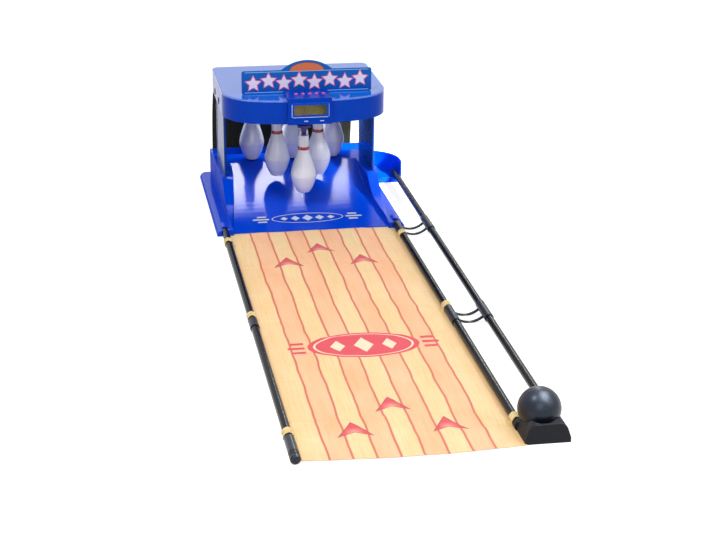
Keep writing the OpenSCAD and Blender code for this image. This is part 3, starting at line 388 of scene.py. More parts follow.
def moulded(name, colour, rough=0.2, grain=0.15, wave=1.0, edge=0.0009, relief=0.00012,
            rub_tone=0.25, dust=0.18, side_matt=0.0, **principled):
    """Moulded plastic: colour, grain, waviness, rubbed edges, scratches and dust.

    side_matt is the roughness that faces turned to the left or right have on top.
    """
    g = Surface(name, **principled)
    p = g.place()
    skin = g.use(moulded_skin(), Vector=p, Grain=grain, Wave=wave)
    wear = g.use(handling_wear(), Vector=p, Edge=edge)
    dirt = g.use(settled_dust(), Vector=p)["Dust"]
    base = g.mix(skin["Tone"], colour, [v * 0.86 for v in colour], 0.6)
    base = g.mix(wear["Rub"], base, [v + (1 - v) * rub_tone for v in colour], 0.45)
    base = g.mix(dirt, base, rgb(205, 205, 210), dust)
    uneven = g.add(g.mul(wear["Scratch"], 0.22), g.mul(dirt, 0.25))
    uneven = g.add(uneven, g.mul(skin["Tone"], 0.05))
    if side_matt:
        aside = g.step(g.abs(g.xyz(g.normal())[0]), 0.75, 0.2)
        uneven = g.add(uneven, g.mul(aside, side_matt))
    return g.finish(base, g.add(uneven, rough, clamp=True),
                    g.bump(skin["Height"], 0.25, relief, wear["Normal"]))


@cache
def plain(name, colour, rough):
    """A small part's material: colour with a slight mottle."""
    g = Surface(name)
    tone = g.noise(g.place(), 400.0, 3.0)
    return g.finish(g.mix(tone, colour, [v * 0.72 for v in colour]),
                    g.add(g.mul(tone, 0.15), rough, clamp=True))


def paint(material, *nodes):
    """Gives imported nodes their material."""
    for node in nodes:
        data = NODES[node].data
        if not data.materials:
            data.materials.append(material)
        for i in range(len(data.materials)):
            data.materials[i] = material


# Mesh helpers


def add_object(name, data):
    """Adds an object with that data to the scene."""
    thing = bpy.data.objects.new(name, data)
    bpy.context.scene.collection.objects.link(thing)
    return thing


def settle(name, data, material, smooth):
    """Makes the mesh a piece that rides on the cabinet's body."""
    for poly in data.polygons:
        poly.use_smooth = smooth
    data.materials.append(material)
    piece = add_object(name, data)
    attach(piece, BODY)
    return piece


def solid(name, points, faces, material, smooth=True):
    """A mesh piece from points in metres of the shared frame."""
    data = bpy.data.meshes.new(name)
    data.from_pydata([tuple(p) for p in points], [], faces)
    return settle(name, data, material, smooth)


def grid_faces(columns, rows):
    """The faces between rows of points, each row columns + 1 points long."""
    wide = columns + 1
    return [(n, n + 1, n + wide + 1, n + wide)
            for k in range(rows) for n in range(k * wide, k * wide + columns)]


def thicken(piece, thickness, offset=0.0):
    """Gives a sheet its thickness, in millimetres."""
    modifier = piece.modifiers.new("thickness", "SOLIDIFY")
    modifier.thickness, modifier.offset = thickness * MM, offset
    graph = bpy.context.evaluated_depsgraph_get()
    data = bpy.data.meshes.new_from_object(piece.evaluated_get(graph))
    piece.modifiers.clear()
    old, piece.data = piece.data, data
    bpy.data.meshes.remove(old)


def add_box(bm, centre, half, bevel=0.0):
    """A box in bm from its centre, half sizes and bevel, the last two in millimetres."""
    made = bmesh.ops.create_cube(bm, size=2.0)["verts"]
    bmesh.ops.scale(bm, verts=made, vec=[v * MM for v in half])
    bmesh.ops.translate(bm, verts=made, vec=centre)
    if bevel:
        edges = list({e for v in made for e in v.link_edges})
        bmesh.ops.bevel(bm, geom=edges, offset=bevel * MM, segments=2, affect="EDGES",
                        profile=0.5)


def from_bmesh(name, bm, material):
    data = bpy.data.meshes.new(name)
    bm.to_mesh(data)
    bm.free()
    return settle(name, data, material, smooth=False)


def plate(bm, outline, y, depth):
    """An upright plate with that outline, from y to y - depth, in bm."""
    front = [bm.verts.new(at(x, y - depth, z)) for x, z in outline]
    back = [bm.verts.new(at(x, y, z)) for x, z in outline]
    bm.faces.new(front)
    bm.faces.new(list(reversed(back)))
    for i in range(len(outline)):
        j = (i + 1) % len(outline)
        bm.faces.new((front[j], front[i], back[i], back[j]))


def clamp01(t):
    return min(1.0, max(0.0, t))


def smooth(t):
    t = clamp01(t)
    return t * t * (3 - 2 * t)


def rumple(x, y, z):
    """Smooth noise between -1 and 1."""
    return noise.noise(Vector((x, y, z)))


# Lane cloth


def draw_in(y):
    """How far the cloth's edge draws in between two loops, in millimetres."""
    for hi, lo in zip(LOOP_YS, LOOP_YS[1:]):
        if lo < y <= hi:
            return MAT_DRAW * sin(pi * (y - lo) / (hi - lo)) ** 0.8
    return 0.0


def cloth_height(x, y, wrinkle):
    """Height of the cloth's wrinkles over the floor, in millimetres."""
    p = Vector((x, y, 0.0))
    h = 0.5 * noise.noise(p / 150) + 0.30 * noise.noise(p / 62 + Vector((7, 3, 1)))
    ridge = 1 - abs(rumple(x / 120 + 5, y / 75, 2.0)) * 2.2
    h += 0.55 * max(0.0, ridge) ** 5
    for loop_y in LOOP_YS:
        for side in (-1, 1):
            dx, dy = (side * MAT_X - x), y - loop_y
            r = hypot(dx, dy)
            if r < 190:
                fold = cos(atan2(dy, dx * side) * 9 + side + loop_y * 0.01)
                h += 0.55 * fold * exp(-r / 70) * min(1.0, r / 22)
    for n, fold_y in enumerate(FOLD_YS):
        off = y - fold_y - 9 * rumple(x / 90, n * 3.0, 4.0)
        reach = 0.5 + 0.9 * rumple(x / 130 + n * 5, 1.0, 7.0)
        h += clamp01(reach) * (0.75 * exp(-(off / 4.5) ** 2)
                               - 0.25 * exp(-((off + 9) / 7) ** 2))
    edge = MAT_X - abs(x)
    pull = draw_in(y) / MAT_DRAW
    h += 0.5 * pull * exp(-edge / 14) * (1 + sin(y / 13 + x / 9)) / 2
    front = MAT_L + MAT_BOW + y
    h += 0.35 * exp(-front / 22) * (1 + sin(x / 17 + 1)) / 2
    under_tube = smooth((edge + draw_in(y) - 2) / 9)
    return max(0.0, (h + 0.45) * wrinkle) * (0.25 + 0.75 * under_tube)


class BOWLING_OT_lane_cloth(bpy.types.Operator):
    """Lay the printed lane cloth, sew its loops round the tubes"""
    bl_idname = "bowling.lane_cloth"
    bl_label = "Lane cloth"

    def execute(self, context):
        s = context.scene.bowling_lane
        columns, rows = 112, 320
        floor_gap, hem_height = 0.15, 0.45
        points, flat = [], []
        for k in range(rows + 1):
            for i in range(columns + 1):
                t = 2 * i / columns - 1
                v = k / rows
                y = -MAT_END - v * (MAT_L - MAT_END + MAT_BOW * (1 - t * t))
                x = t * (MAT_X - draw_in(y))
                z = floor_gap + cloth_height(x, y, s.wrinkle / MM)
                hem = max(smooth((abs(t) * MAT_X - MAT_X + HEM) / 2),
                          smooth((v * MAT_L - MAT_L + HEM) / 2))
                points.append(at(x, y, z + hem_height * hem))
                flat.append((x, y))
        cloth = solid("lane_cloth", points, grid_faces(columns, rows), lane_print(s))
        thicken(cloth, 0.9, offset=-1.0)
        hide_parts("lane_mat")
        loops, stitches = [], []
        for side, label in ((-1, "left"), (1, "right")):
            strap = sew_loops(side, label, s)
            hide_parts(f"{label}_loops")
            loops.append(strap)
            stitches.append(stitch_rows(side, label))
        return {"FINISHED"}


def strap_path(side):
    """The loop's path across the lane, in millimetres: from the cloth round the tube."""
    r = TUBE_R + 0.75
    start, turn, steps = radians(232), radians(352), 39
    path = [(side * x, 2.35) for x in (187, 190, 193)]
    for k in range(steps + 1):
        a = start - turn * k / steps
        path.append((side * (TUBE_X + r * cos(a)), TUBE_Z + r * sin(a)))
    return path


def sew_loops(side, label, s):
    columns = 10
    path = strap_path(side)
    points, faces = [], []
    for n, loop_y in enumerate(LOOP_YS):
        base = len(points)
        for k, (x, z) in enumerate(path):
            on_tube = smooth((k - 2) / 3)
            outward = Vector((x - side * TUBE_X, 0, z - TUBE_Z)).normalized()
            for i in range(columns + 1):
                t = 2 * i / columns - 1
                pucker = (0.35 * sin(t * 9 + n + k * 0.5) * abs(t)
                          + 0.25 * cos(k * 0.9 + n * 2)) * on_tube
                pucker += 0.55 * t * t * on_tube
                flare = 1.0 + 0.05 * sin(k * 0.45 + n)
                p = Vector((x, loop_y + t * LOOP_W / 2 * flare * 0.94, z))
                p += outward * max(0.0, pucker + 0.1)
                points.append(at(p.x, p.y, max(p.z, 0.45)))
        faces += [tuple(base + v for v in f) for f in grid_faces(columns, len(path) - 1)]
    piece = solid(f"{label}_cloth_loops", points, faces, loop_fabric(s))
    thicken(piece, 0.8)
    return piece


def stitch_rows(side, label):
    bm = bmesh.new()
    pitch, half = 3.0, (0.22, 1.05, 0.16)
    for loop_y in LOOP_YS:
        for row in (188.4, 191.6):
            for k in range(-3, 4):
                add_box(bm, at(side * row, loop_y + k * pitch, 2.85), half, bevel=0.1)
    thread = plain("stitch_thread", rgb(214, 176, 110), 0.7)
    return from_bmesh(f"{label}_loop_stitches", bm, thread)


@group(X=0.0, Y=0.0, Tip_X=0.0, Tip_Y=0.0)
def arrow_mark(g, i):
    """Masks of one arrow that points up the lane, in millimetres from its tip."""
    side = g.abs(g.sub(i["X"], i["Tip X"]))
    down = g.sub(i["Tip Y"], i["Y"])
    flank = g.sub(g.mul(down, 0.53), side)
    notch = g.sub(g.add(g.mul(side, 0.55), 45.0), down)
    inside = g.min(flank, notch)
    fill = g.step(inside, 0.2, 0.8)
    return {"Fill": fill, "Edge": g.sub(fill, g.step(inside, 2.4, 1.6)),
            "Glow": g.mul(g.step(down, 36.0, 22.0), g.under(side, 9.0, 16.0))}


def lane_print(s):
    """Printed polyester: planks, lines, arrows and a plain centre mark."""
    g = Surface("lane_print", shine=0.25, Sheen_Weight=0.25, Sheen_Roughness=0.5)
    p = g.place()
    true_x, true_y = (g.mul(g.sub(g.xyz(p)[i], start), 1 / MM)
                      for i, start in enumerate((LANE_X, RAMP_Y)))
    sway = g.sub(g.streaks(p, (5, 5.5, 1)), 0.5)
    ripple = g.sub(g.streaks(p, (6, 14, 1), 1.0, shift=(3, 1, 0)), 0.5)
    wander = s.wander / MM
    stray = g.add(g.mul(sway, 2.6 * wander), g.mul(ripple, 1.5 * wander))
    x, y = g.add(true_x, stray), g.add(true_y, stray)
    side_x = g.abs(x)
    colour = plank_colours(s, g, p, x)
    for tip_x, tip_y in ARROWS:
        a = g.use(arrow_mark(), X=side_x if tip_x else x, Y=y, Tip_X=tip_x, Tip_Y=tip_y)
        red = g.mix(a["Glow"], s.mark, rgb(250, 186, 164), 0.85)
        red = g.mix(a["Edge"], red, rgb(160, 66, 62))
        colour = g.mix(a["Fill"], colour, red)
    colour = centre_mark(g, x, y, colour, s.mark)
    # Painted shade along the folds: the print darkens to a brownish line in each crease,
    # patchy along its length.
    wobble = g.mul(g.sub(g.streaks(p, (12, 3, 1), 3.0, shift=(5, 2, 0)), 0.5), 26.0)
    uneven = g.ramp(g.streaks(p, (9, 6, 1), shift=(1, 8, 0)), 0.42, 0.6)
    for fold_y in FOLD_YS:
        fold = g.under(g.abs(g.sub(g.add(true_y, wobble), fold_y)), 1.4, 2.4)
        colour = g.mix(g.mul(fold, uneven), colour, rgb(196, 140, 92), 0.22)
    hem_edge = g.step(g.abs(true_x), HEM_SEAM_X, 1.2)
    colour = g.mix(hem_edge, colour, rgb(214, 160, 90), 0.25)
    weave = g.use(woven_threads(), Vector=p, Pitch=260.0)
    crease = g.streaks(p, (30, 22, 1), 4.0, 0.55)
    return g.finish(g.mix(weave["Shade"], colour, rgb(150, 100, 60), 0.10),
                    g.add(g.mul(weave["Slub"], 0.2), 0.62),
                    g.bump(g.add(g.mul(weave["Height"], 0.05), crease), 0.5, 0.0011))


def plank_colours(s, g, p, x):
    """Eight planks, pale and warm by turns, between red lines."""
    plank = s.plank / MM
    count = g.div(g.add(x, plank * 20.5), plank)
    near = g.mul(g.abs(g.sub(g.math("FRACT", g.add(count, 0.5)), 0.5)), plank)
    inner = g.under(g.abs(x), plank * 4, 1.0)
    line = g.mul(inner, g.under(near, s.line / MM / 2, 1.7))
    which = g.math("FLOOR", g.min(g.max(count, 16.01), 24.99))
    odd = g.math("COMPARE", g.math("MODULO", which, 2.0), 1.0, 0.1)
    grain = g.ramp(g.streaks(p, (260, 9, 1), 3.0, 0.6), 0.45, 0.75)
    figure = g.streaks(p, (34, 5, 1), 3.0, 0.6)
    patch = g.streaks(p, (11, 7, 1), shift=(2, 5, 0))
    warm = g.mix(g.ramp(figure, 0.35, 0.7), s.warm, rgb(250, 182, 130))
    warm = g.mix(g.ramp(patch, 0.4, 0.7), warm, rgb(253, 208, 166), 0.5)
    pale = g.mix(g.ramp(figure, 0.3, 0.75), s.pale, rgb(246, 206, 140))
    pale = g.mix(g.ramp(patch, 0.45, 0.75), pale, rgb(252, 228, 176), 0.5)
    wood = g.mix(grain, g.mix(odd, pale, warm), rgb(228, 150, 84), 0.28)
    return g.mix(line, wood, s.red, 0.92)


def centre_mark(g, x, y, colour, mark):
    """A plain oval with a pale ring, three diamonds and three bars at each end."""
    dy = g.sub(y, MARK_Y)
    ax, ay = g.abs(x), g.abs(dy)
    across, along = (g.math("POWER", g.div(v, half), 2.0)
                     for v, half in ((x, 112.0), (dy, 62.0)))
    e = g.math("SQRT", g.add(across, along))
    oval = g.under(e, 1.0, 0.012)
    ring = g.mul(g.step(e, 0.86, 0.012), g.under(e, 0.90, 0.012))
    centre_gem = g.add(g.div(ax, 20.0), g.div(ay, 36.0))
    outer_gem = g.add(g.div(g.abs(g.sub(ax, 52.0)), 15.0), g.div(ay, 27.0))
    gems = g.under(g.min(centre_gem, outer_gem), 1.0, 0.05)
    band = g.abs(g.sub(ay, g.mul(g.math("GREATER_THAN", ay, 11.0), 22.0)))
    reach = g.math("LESS_THAN", ax, g.sub(152.0, g.mul(ay, 0.35)))
    bars = g.mul(g.under(band, 5.5, 1.0), g.mul(g.step(ax, 118.0, 1.0), reach))
    pale = rgb(253, 224, 190)
    red = g.mix(gems, g.mix(ring, mark, pale), pale)
    return g.mix(oval, g.mix(bars, colour, mark), red)


def loop_fabric(s):
    g = Surface("loop_fabric", shine=0.25, Sheen_Weight=0.3)
    p = g.place()
    weave = g.use(woven_threads(), Vector=p, Pitch=340.0)
    tone = g.ramp(g.noise(p, 90.0, 3.0), 0.35, 0.7)
    colour = g.mix(tone, s.loop, rgb(222, 184, 106))
    return g.finish(g.mix(weave["Shade"], colour, rgb(170, 124, 62), 0.2),
                    g.add(g.mul(weave["Slub"], 0.2), 0.65),
                    g.bump(weave["Height"], 0.5, 0.0003))


# Base


class BOWLING_OT_base(bpy.types.Operator):
    """Finish the ramp base, its chute, gutter, feet and printed trim"""
    bl_idname = "bowling.base"
    bl_label = "Ramp base"

    def execute(self, context):
        s = context.scene.bowling_cabinet
        blue = moulded("base_blue", s.shell, rough=0.08, edge=s.edge * 1.4, relief=0.00010,
                       dust=0.01, side_matt=0.5, shine=0.10)
        paint(blue, "base_shell", "return_chute")
        paint(moulded("gutter_blue", s.rack, rough=0.3, Coat_Weight=0.2), "ball_gutter")
        paint(moulded("foot_rubber", rgb(30, 30, 32), rough=0.75, grain=0.6, dust=0.3),
              "rubber_feet")
        ramp_mark()
        return {"FINISHED"}


def ramp_z(x, y):
    """Height of the ramp at a point of the lane frame."""
    ramp = NODES["base_shell"]
    back = ramp.matrix_world.inverted()
    down = back.to_3x3() @ Vector((0, 0, -1))
    hit, place, _, _ = ramp.ray_cast(back @ at(x, y, 900), down)
    if not hit:
        raise RuntimeError(f"the ramp doesn't lie under {x}, {y}")
    return (ramp.matrix_world @ place).z / MM


def ramp_mark():
    """A plain printed mark on the ramp: an oval line, five diamonds and bars beside them."""
    oval = [(cos(a), sin(a)) for a in np.linspace(0, 2 * pi, 97)[:-1]]

    def ring(rx, ry, line):
        return [[(rx * c0, ry * s0), (rx * c1, ry * s1),
                 ((rx - line) * c1, (ry - line) * s1), ((rx - line) * c0, (ry - line) * s0)]
                for (c0, s0), (c1, s1) in zip(oval, oval[1:] + oval[:1])]

    def diamond(x, half_x, half_y):
        return [(x - half_x, 0), (x, -half_y), (x + half_x, 0), (x, half_y)]

    def bar(side, y, half):
        inner, outer = 92 + abs(y) * 0.5, 132 - abs(y) * 0.9
        return [(side * inner, y - half), (side * outer, y - half),
                (side * (outer - half), y + half), (side * inner, y + half)]

    gems = [(-56, 9, 8), (-29, 11, 11), (0, 13, 14), (29, 11, 11), (56, 9, 8)]
    bars = [(side, y) for side in (-1, 1) for y in (-12, 0, 12)]
    for name, colour, lift, shapes in (
            ("edges", rgb(14, 40, 120), 0.10,
             ring(87.5, 24.5, 5.2) + [diamond(x, a + 2.2, b + 2.2) for x, a, b in gems]
             + [bar(*b, 4.4) for b in bars]),
            ("faces", rgb(214, 224, 246), 0.22,
             ring(86, 23, 2.2) + [diamond(*g) for g in gems] + [bar(*b, 2.8) for b in bars])):
        bm = bmesh.new()
        for shape in shapes:
            spots = [(x, RAMP_MARK_Y + y) for x, y in shape]
            face = bm.faces.new([bm.verts.new(at(x, y, ramp_z(x, y) + lift))
                                 for x, y in spots])
            face.normal_update()
            if face.normal.z < 0:
                face.normal_flip()
        from_bmesh(f"ramp_mark_{name}", bm, plain(f"ramp_ink_{name}", colour, 0.3))


# Cabinet


class BOWLING_OT_cabinet(bpy.types.Operator):
    """Finish the side panels, roof band, roof cover and screws"""
    bl_idname = "bowling.cabinet"
    bl_label = "Cabinet"

    def execute(self, context):
        s = context.scene.bowling_cabinet
        band = moulded("band_blue", s.band, rough=0.12, edge=s.edge, dust=0.03, shine=0.06)
        roof = moulded("roof_blue", s.roof, rough=0.08, edge=s.edge, wave=0.6, dust=0.05,
                       shine=0.0, Coat_Weight=1.0, Coat_Roughness=0.03, Coat_IOR=1.95)
        panel = moulded("panel_blue", s.panel, edge=s.edge, dust=0.05, shine=0.12)
        paint(band, "canopy_frame")
        paint(roof, "roof_cover")
        paint(panel, "left_panel", "right_panel")
        # The cups are painted shade: a dark ring round each screw.
        screw_cups(moulded("painted_cup_shade", s.cup_shade, rough=0.35, dust=0.0, shine=0.05))
        paint(bright_steel(), "cabinet_screws", "rack_screws", "hinge_pins", "net_rail")
        return {"FINISHED"}


def screw_cups(material):
    """Cups round the four screws in the sides of the roof band, dark navy as painted shade."""
    profile = ((3.5, 0.0), (3.5, 0.3), (4.5, 0.9), (8.0, 0.9), (8.8, 0.0))
    turns, rim = 40, len(profile)
    lo, hi = lane_box("cabinet_screws")
    head = (hi.z - lo.z) / 2
    z = lo.z + head
    points, faces = [], []
    for corner in lane_box("roof_cover"):
        out = copysign(1.0, corner.x)
        for y in (lo.y + head, hi.y - head):
            base = len(points)
            for k in range(turns):
                a = 2 * pi * k / turns * out
                points += [at(corner.x + out * up, y + r * cos(a), z + r * sin(a))
                           for r, up in profile]
                near, far = base + k * rim, base + (k + 1) % turns * rim
                faces += [(near + i, near + (i + 1) % rim, far + (i + 1) % rim, far + i)
                          for i in range(rim)]
    solid("screw_cups", points, faces, material, smooth=False)


@cache
def bright_steel():
    g = Surface("bright_steel", Metallic=1.0)
    p = g.place()
    drawn = g.streaks(p, (30, 900, 900))
    wear = g.use(handling_wear(), Vector=p, Edge=0.0003)
    return g.finish(g.mix(drawn, rgb(176, 178, 184), rgb(110, 112, 118), 0.35),
                    g.add(g.mul(drawn, 0.2), 0.28),
                    g.bump(drawn, 0.15, 0.0001, wear["Normal"]))


# Console


class BOWLING_OT_console(bpy.types.Operator):
    """Finish the display console, its display, buttons and electronics"""
    bl_idname = "bowling.console"
    bl_label = "Display console"

    def execute(self, context):
        s = context.scene.bowling_cabinet
        case = moulded("console_blue", s.band, rough=0.16, edge=s.edge, dust=0.02, shine=0.05)
        paint(case, "console_housing", "battery_door")
        paint(moulded("bezel_blue", rgb(4, 72, 196), edge=0.0004, shine=0.08), "lcd_bezel")
        paint(window_glass(), "lcd_window")
        paint(display_face(), "lcd_module")
        paint(board_green(), "main_board", "button_board", "switch_board")
        paint(moulded("speaker_black", rgb(30, 30, 32), rough=0.6), "speaker")
        paint(moulded("cell_wrap", rgb(206, 120, 38), rough=0.25), "battery_cells")
        paint(bright_steel(), "battery_contacts")
        paint(moulded("cable_grey", rgb(172, 172, 176), rough=0.5), "ribbon_cable")
        pink = moulded("button_pink", rgb(214, 74, 178), rough=0.25, edge=0.0006,
                       Coat_Weight=0.4)
        paint(pink, *(f"button_{i}" for i in range(1, 6)))
        ghost_digits()
        bezel_lines()
        return {"FINISHED"}


def window_glass():
    g = Surface("window_glass", Transmission_Weight=1.0, IOR=1.46)
    grime = g.ramp(g.noise(g.place(), 40.0, 4.0), 0.4, 0.8)
    return g.finish(g.mix(grime, rgb(240, 242, 226), rgb(214, 216, 196), 0.3), 0.02)


def display_face():
    g = Surface("display_face", shine=0.3)
    p = g.place()
    tone = g.ramp(g.noise(p, 30.0), 0.3, 0.7)
    colour = g.mix(tone, rgb(112, 112, 64), rgb(96, 98, 54))
    lines = g.bands(p, "X", 330.0, Distortion=0.0)
    return g.finish(g.mix(lines, colour, rgb(72, 72, 38), 0.16),
                    g.add(g.mul(tone, 0.1), 0.35))


def board_green():
    g = Surface("board_green", Coat_Weight=0.4)
    cells = g.node("ShaderNodeTexVoronoi", {"Vector": g.place(), "Scale": 260.0},
                   feature="DISTANCE_TO_EDGE").outputs[0]
    tracks = g.ramp(cells, 0.03, 0.06, start=1.0, end=0.0)
    return g.finish(g.mix(tracks, rgb(22, 92, 48), rgb(48, 138, 70)),
                    g.add(g.mul(tracks, 0.15), 0.4))


def ghost_digits():
    """Unlit seven-bar figures on the display, under its window."""
    bm = bmesh.new()
    lo, hi = lane_box("lcd_module")
    lcd_x, _, lcd_z = middle(lo, hi)
    y = (lo.y + lane_box("lcd_window")[1].y) / 2
    w, h, bar, pitch = 3.6, 7.4, 0.75, 10.0
    marks = [(0, k * h, w - bar, bar) for k in (-1, 0, 1)]
    marks += [(i * w, k * h / 2, bar, h / 2 - bar) for i in (-1, 1) for k in (-1, 1)]
    for n in range(7):
        for dx, dz, half_x, half_z in marks:
            add_box(bm, at(lcd_x + (n - 3) * pitch + dx, y, lcd_z + dz),
                    (half_x * 0.9, 0.03, half_z * 0.9))
    from_bmesh("display_figures", bm, plain("ghost_ink", rgb(60, 64, 32), 0.4))


def bezel_lines():
    """Thin printed lines on the display's bezel."""
    bm = bmesh.new()
    lo, hi = lane_box("lcd_bezel")
    x0, _, z0 = middle(lo, hi)
    for x, z, half_x, half_z in ((x0 - 43.0, z0 - 1, 0.7, 15), (x0, z0 - 16.6, 41, 0.6),
                                 (x0 + 43.2, z0 - 1, 0.3, 15)):
        add_box(bm, at(x, lo.y - 0.04, z), (half_x, 0.08, half_z))
    front = lane_box("console_housing")[0].y
    for x in (x0 - 10, x0 + 27):
        add_box(bm, at(x, front - 0.06, z0 - 26), (4.5, 0.08, 1.0), bevel=0.05)
    from_bmesh("bezel_lines", bm, plain("pale_ink", rgb(196, 214, 255), 0.4))


# Pins


class BOWLING_OT_pins(bpy.types.Operator):
    """Finish the six pins and the rack that they hang from"""
    bl_idname = "bowling.pins"
    bl_label = "Pins and rack"

    def execute(self, context):
        s = context.scene.bowling_pins
        c = context.scene.bowling_cabinet
        for n in range(1, 7):
            paint(pin_white(n, s), f"pin_{n}")
        paint(moulded("rack_blue", c.rack, rough=0.25, edge=0.0006, Coat_Weight=0.3),
              "pin_rack")
        paint(moulded("switch_black", rgb(28, 28, 30), rough=0.5), "trip_switches")
        return {"FINISHED"}


def pin_white(n, s):
    """Blow-moulded pin: seams, a painted ring and small scuffs."""
    g = Surface(f"pin_white_{n}", Coat_Weight=0.35, Coat_Roughness=0.12,
                Subsurface_Weight=0.08, Subsurface_Scale=0.004)
    lo, hi = lane_box(f"pin_{n}")
    x, y, _ = middle(lo, hi)
    foot = at(x, y, lo.z)
    p = g.place()
    local = g.mapping(p, location=-foot)
    xyz = g.xyz(local)
    z = g.mul(xyz[2], 1 / MM)
    belt = g.under(g.abs(g.sub(z, PIN_BELT_Z)), 0.35, 0.5)
    seam = g.under(g.mul(g.abs(xyz[0]), 1 / MM), 0.25, 0.4)
    low, high = PIN_RING_Z
    on_ring = g.mul(g.step(z, low, 0.5), g.under(z, high, 0.5))
    wear = g.use(handling_wear(), Vector=local, Edge=0.0008)
    skin = g.use(moulded_skin(), Vector=g.mapping(p, location=(n, 0, 0)), Grain=0.10, Wave=1.4)
    marks = g.ramp(g.streaks(p, (70, 70, 160), 3.0, shift=(n, 1, 2)), 0.63, 0.72)
    # The body colour and this tone are bluish: painted shade and blue bounce light on the
    # white pins.
    white = g.mix(skin["Tone"], s.body, rgb(210, 214, 232), 0.4)
    white = g.mix(marks, white, rgb(150, 150, 168), 0.22)
    white = g.mix(g.max(g.mul(belt, 0.35), g.mul(seam, 0.18)), white, rgb(150, 140, 156))
    chips = g.ramp(g.streaks(p, (210, 210, 210), shift=(n, 4, 2)), 0.30, 0.34, 1.0, 0.0)
    ring = g.mix(chips, s.ring, rgb(232, 220, 220), 0.8)
    scuffs = g.add(g.mul(wear["Scratch"], 0.2), 0.24)
    height = g.sub(g.mul(skin["Height"], 0.5), g.mul(g.max(belt, seam), 0.8))
    return g.finish(g.mix(on_ring, white, ring),
                    g.add(g.mul(marks, 0.2), scuffs, clamp=True),
                    g.bump(height, 0.35, 0.0002, wear["Normal"]))


# Sign


def star(cx, cz, radius, waist):
    """The outline of a star with five points."""
    out = []
    for k in range(10):
        r = radius * (waist if k % 2 else 1)
        a = radians(90 + k * 36)
        out.append((cx + r * cos(a), cz + r * sin(a)))
    return out


class BOWLING_OT_sign(bpy.types.Operator):
    """Finish the sign card and give it a plain printed row of stars"""
    bl_idname = "bowling.sign"
    bl_label = "Sign card"

    def execute(self, context):
        paint(card_print(), "sign_card")
        lo, hi = lane_box("sign_card")
        mid_x = middle(lo, hi)[0]
        arch, margin = 22, 7
        low, high = lane_box("roof_cover")[1].z, hi.z - arch
        half = (hi.x - lo.x) / 2 - margin

        def half_disc(z, wide, tall):
            return [(mid_x + wide * cos(a), z + tall * sin(a)) for a in np.linspace(0, pi, 33)]

        stars = [(mid_x + (k - 3.5) * 36, (low + high) / 2 + (3 if k % 2 else -3))
                 for k in range(8)]
        corners = ((-half, -0.8), (half, -0.8), (half, 0.8), (-half, 0.8))
        bars = [[(mid_x + x, z + dz) for x, dz in corners] for z in (low + 3.5, high - 3.5)]
        for name, colour, lift, outlines in (
                ("lines", rgb(120, 190, 240), 0.05, bars),
                ("sun_rim", rgb(60, 60, 120), 0.04, [half_disc(high - 4.5, 43.5, 23)]),
                ("sun", rgb(206, 104, 64), 0.08, [half_disc(high - 3, 40, 19)]),
                ("star_edges", rgb(226, 92, 140), 0.10, [star(*c, 21.5, 0.5) for c in stars]),
                ("stars", rgb(226, 218, 240), 0.15, [star(*c, 18.2, 0.47) for c in stars])):
            bm = bmesh.new()
            for outline in outlines:
                plate(bm, outline, lo.y, lift)
            from_bmesh(f"sign_{name}", bm, plain(f"ink_{name}", colour, 0.35))
        return {"FINISHED"}


def card_print():
    g = Surface("card_print", shine=0.12, Coat_Weight=0.08, Coat_Roughness=0.12)
    p = g.place()
    fade = g.step(g.mul(g.xyz(p)[2], 1 / MM), 334.0, 60.0)
    mottle = g.noise(p, 30.0, 3.0)
    wear = g.use(handling_wear(), Vector=p, Edge=0.0005)
    colour = g.mix(fade, rgb(0, 66, 158), rgb(0, 92, 176))
    colour = g.mix(mottle, colour, rgb(0, 50, 130), 0.25)
    colour = g.mix(wear["Rub"], colour, rgb(176, 196, 220), 0.6)
    return g.finish(colour, g.add(g.mul(mottle, 0.15), 0.3),
                    g.bump(mottle, 0.1, 0.0002, wear["Normal"]))


# Backstop


class BOWLING_OT_backstop(bpy.types.Operator):
    """Hang the black backstop cloth behind the pins"""
    bl_idname = "bowling.backstop"
    bl_label = "Backstop cloth"

    def execute(self, context):
        s = context.scene.bowling_cabinet
        lo, hi = lane_box("back_net")
        _, rail_y, rail_z = middle(*lane_box("net_rail"))
        columns, rows = 180, 56
        foot_y, foot_z = NET_FOOT
        top_y, top_z = rail_y - 0.8, rail_z - 6.7
        folds, depth, bulge = 7.5, 4.0, 16
        points = []
        for k in range(rows + 1):
            down = k / rows * (top_z - foot_z + NET_HEM)
            v = clamp01(down / (top_z - foot_z))
            z = top_z - down
            belly = sin(pi * v)
            for i in range(columns + 1):
                u = i / columns
                x = lo.x + (hi.x + NET_WIDER - lo.x) * u
                wave = cos(u * 2 * pi * folds + 0.5 * rumple(u * 5, v * 2, 3))
                crease = 0.9 * rumple(x / 16, z / 22, 1) * belly
                y = top_y + (foot_y - top_y) * v + (bulge + depth * (1 + wave)) * belly
                points.append(at(x, y + crease, z))
        net = solid("backstop_cloth", points, grid_faces(columns, rows), net_fabric(s))
        thicken(net, 0.7)
        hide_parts("back_net")
        return {"FINISHED"}


def net_fabric(s):
    g = Surface("net_fabric", shine=0.15, Sheen_Weight=0.15)
    p = g.place()
    weave = g.use(woven_threads(), Vector=p, Pitch=190.0)
    colour = g.mix(g.noise(p, 22.0, 3.0), s.net, rgb(16, 16, 14))
    return g.finish(g.mix(weave["Shade"], colour, rgb(52, 52, 40), 0.35),
                    g.add(g.mul(weave["Slub"], 0.15), 0.75),
                    g.bump(weave["Height"], 0.5, 0.0004))


# Tubes, cradle and ball


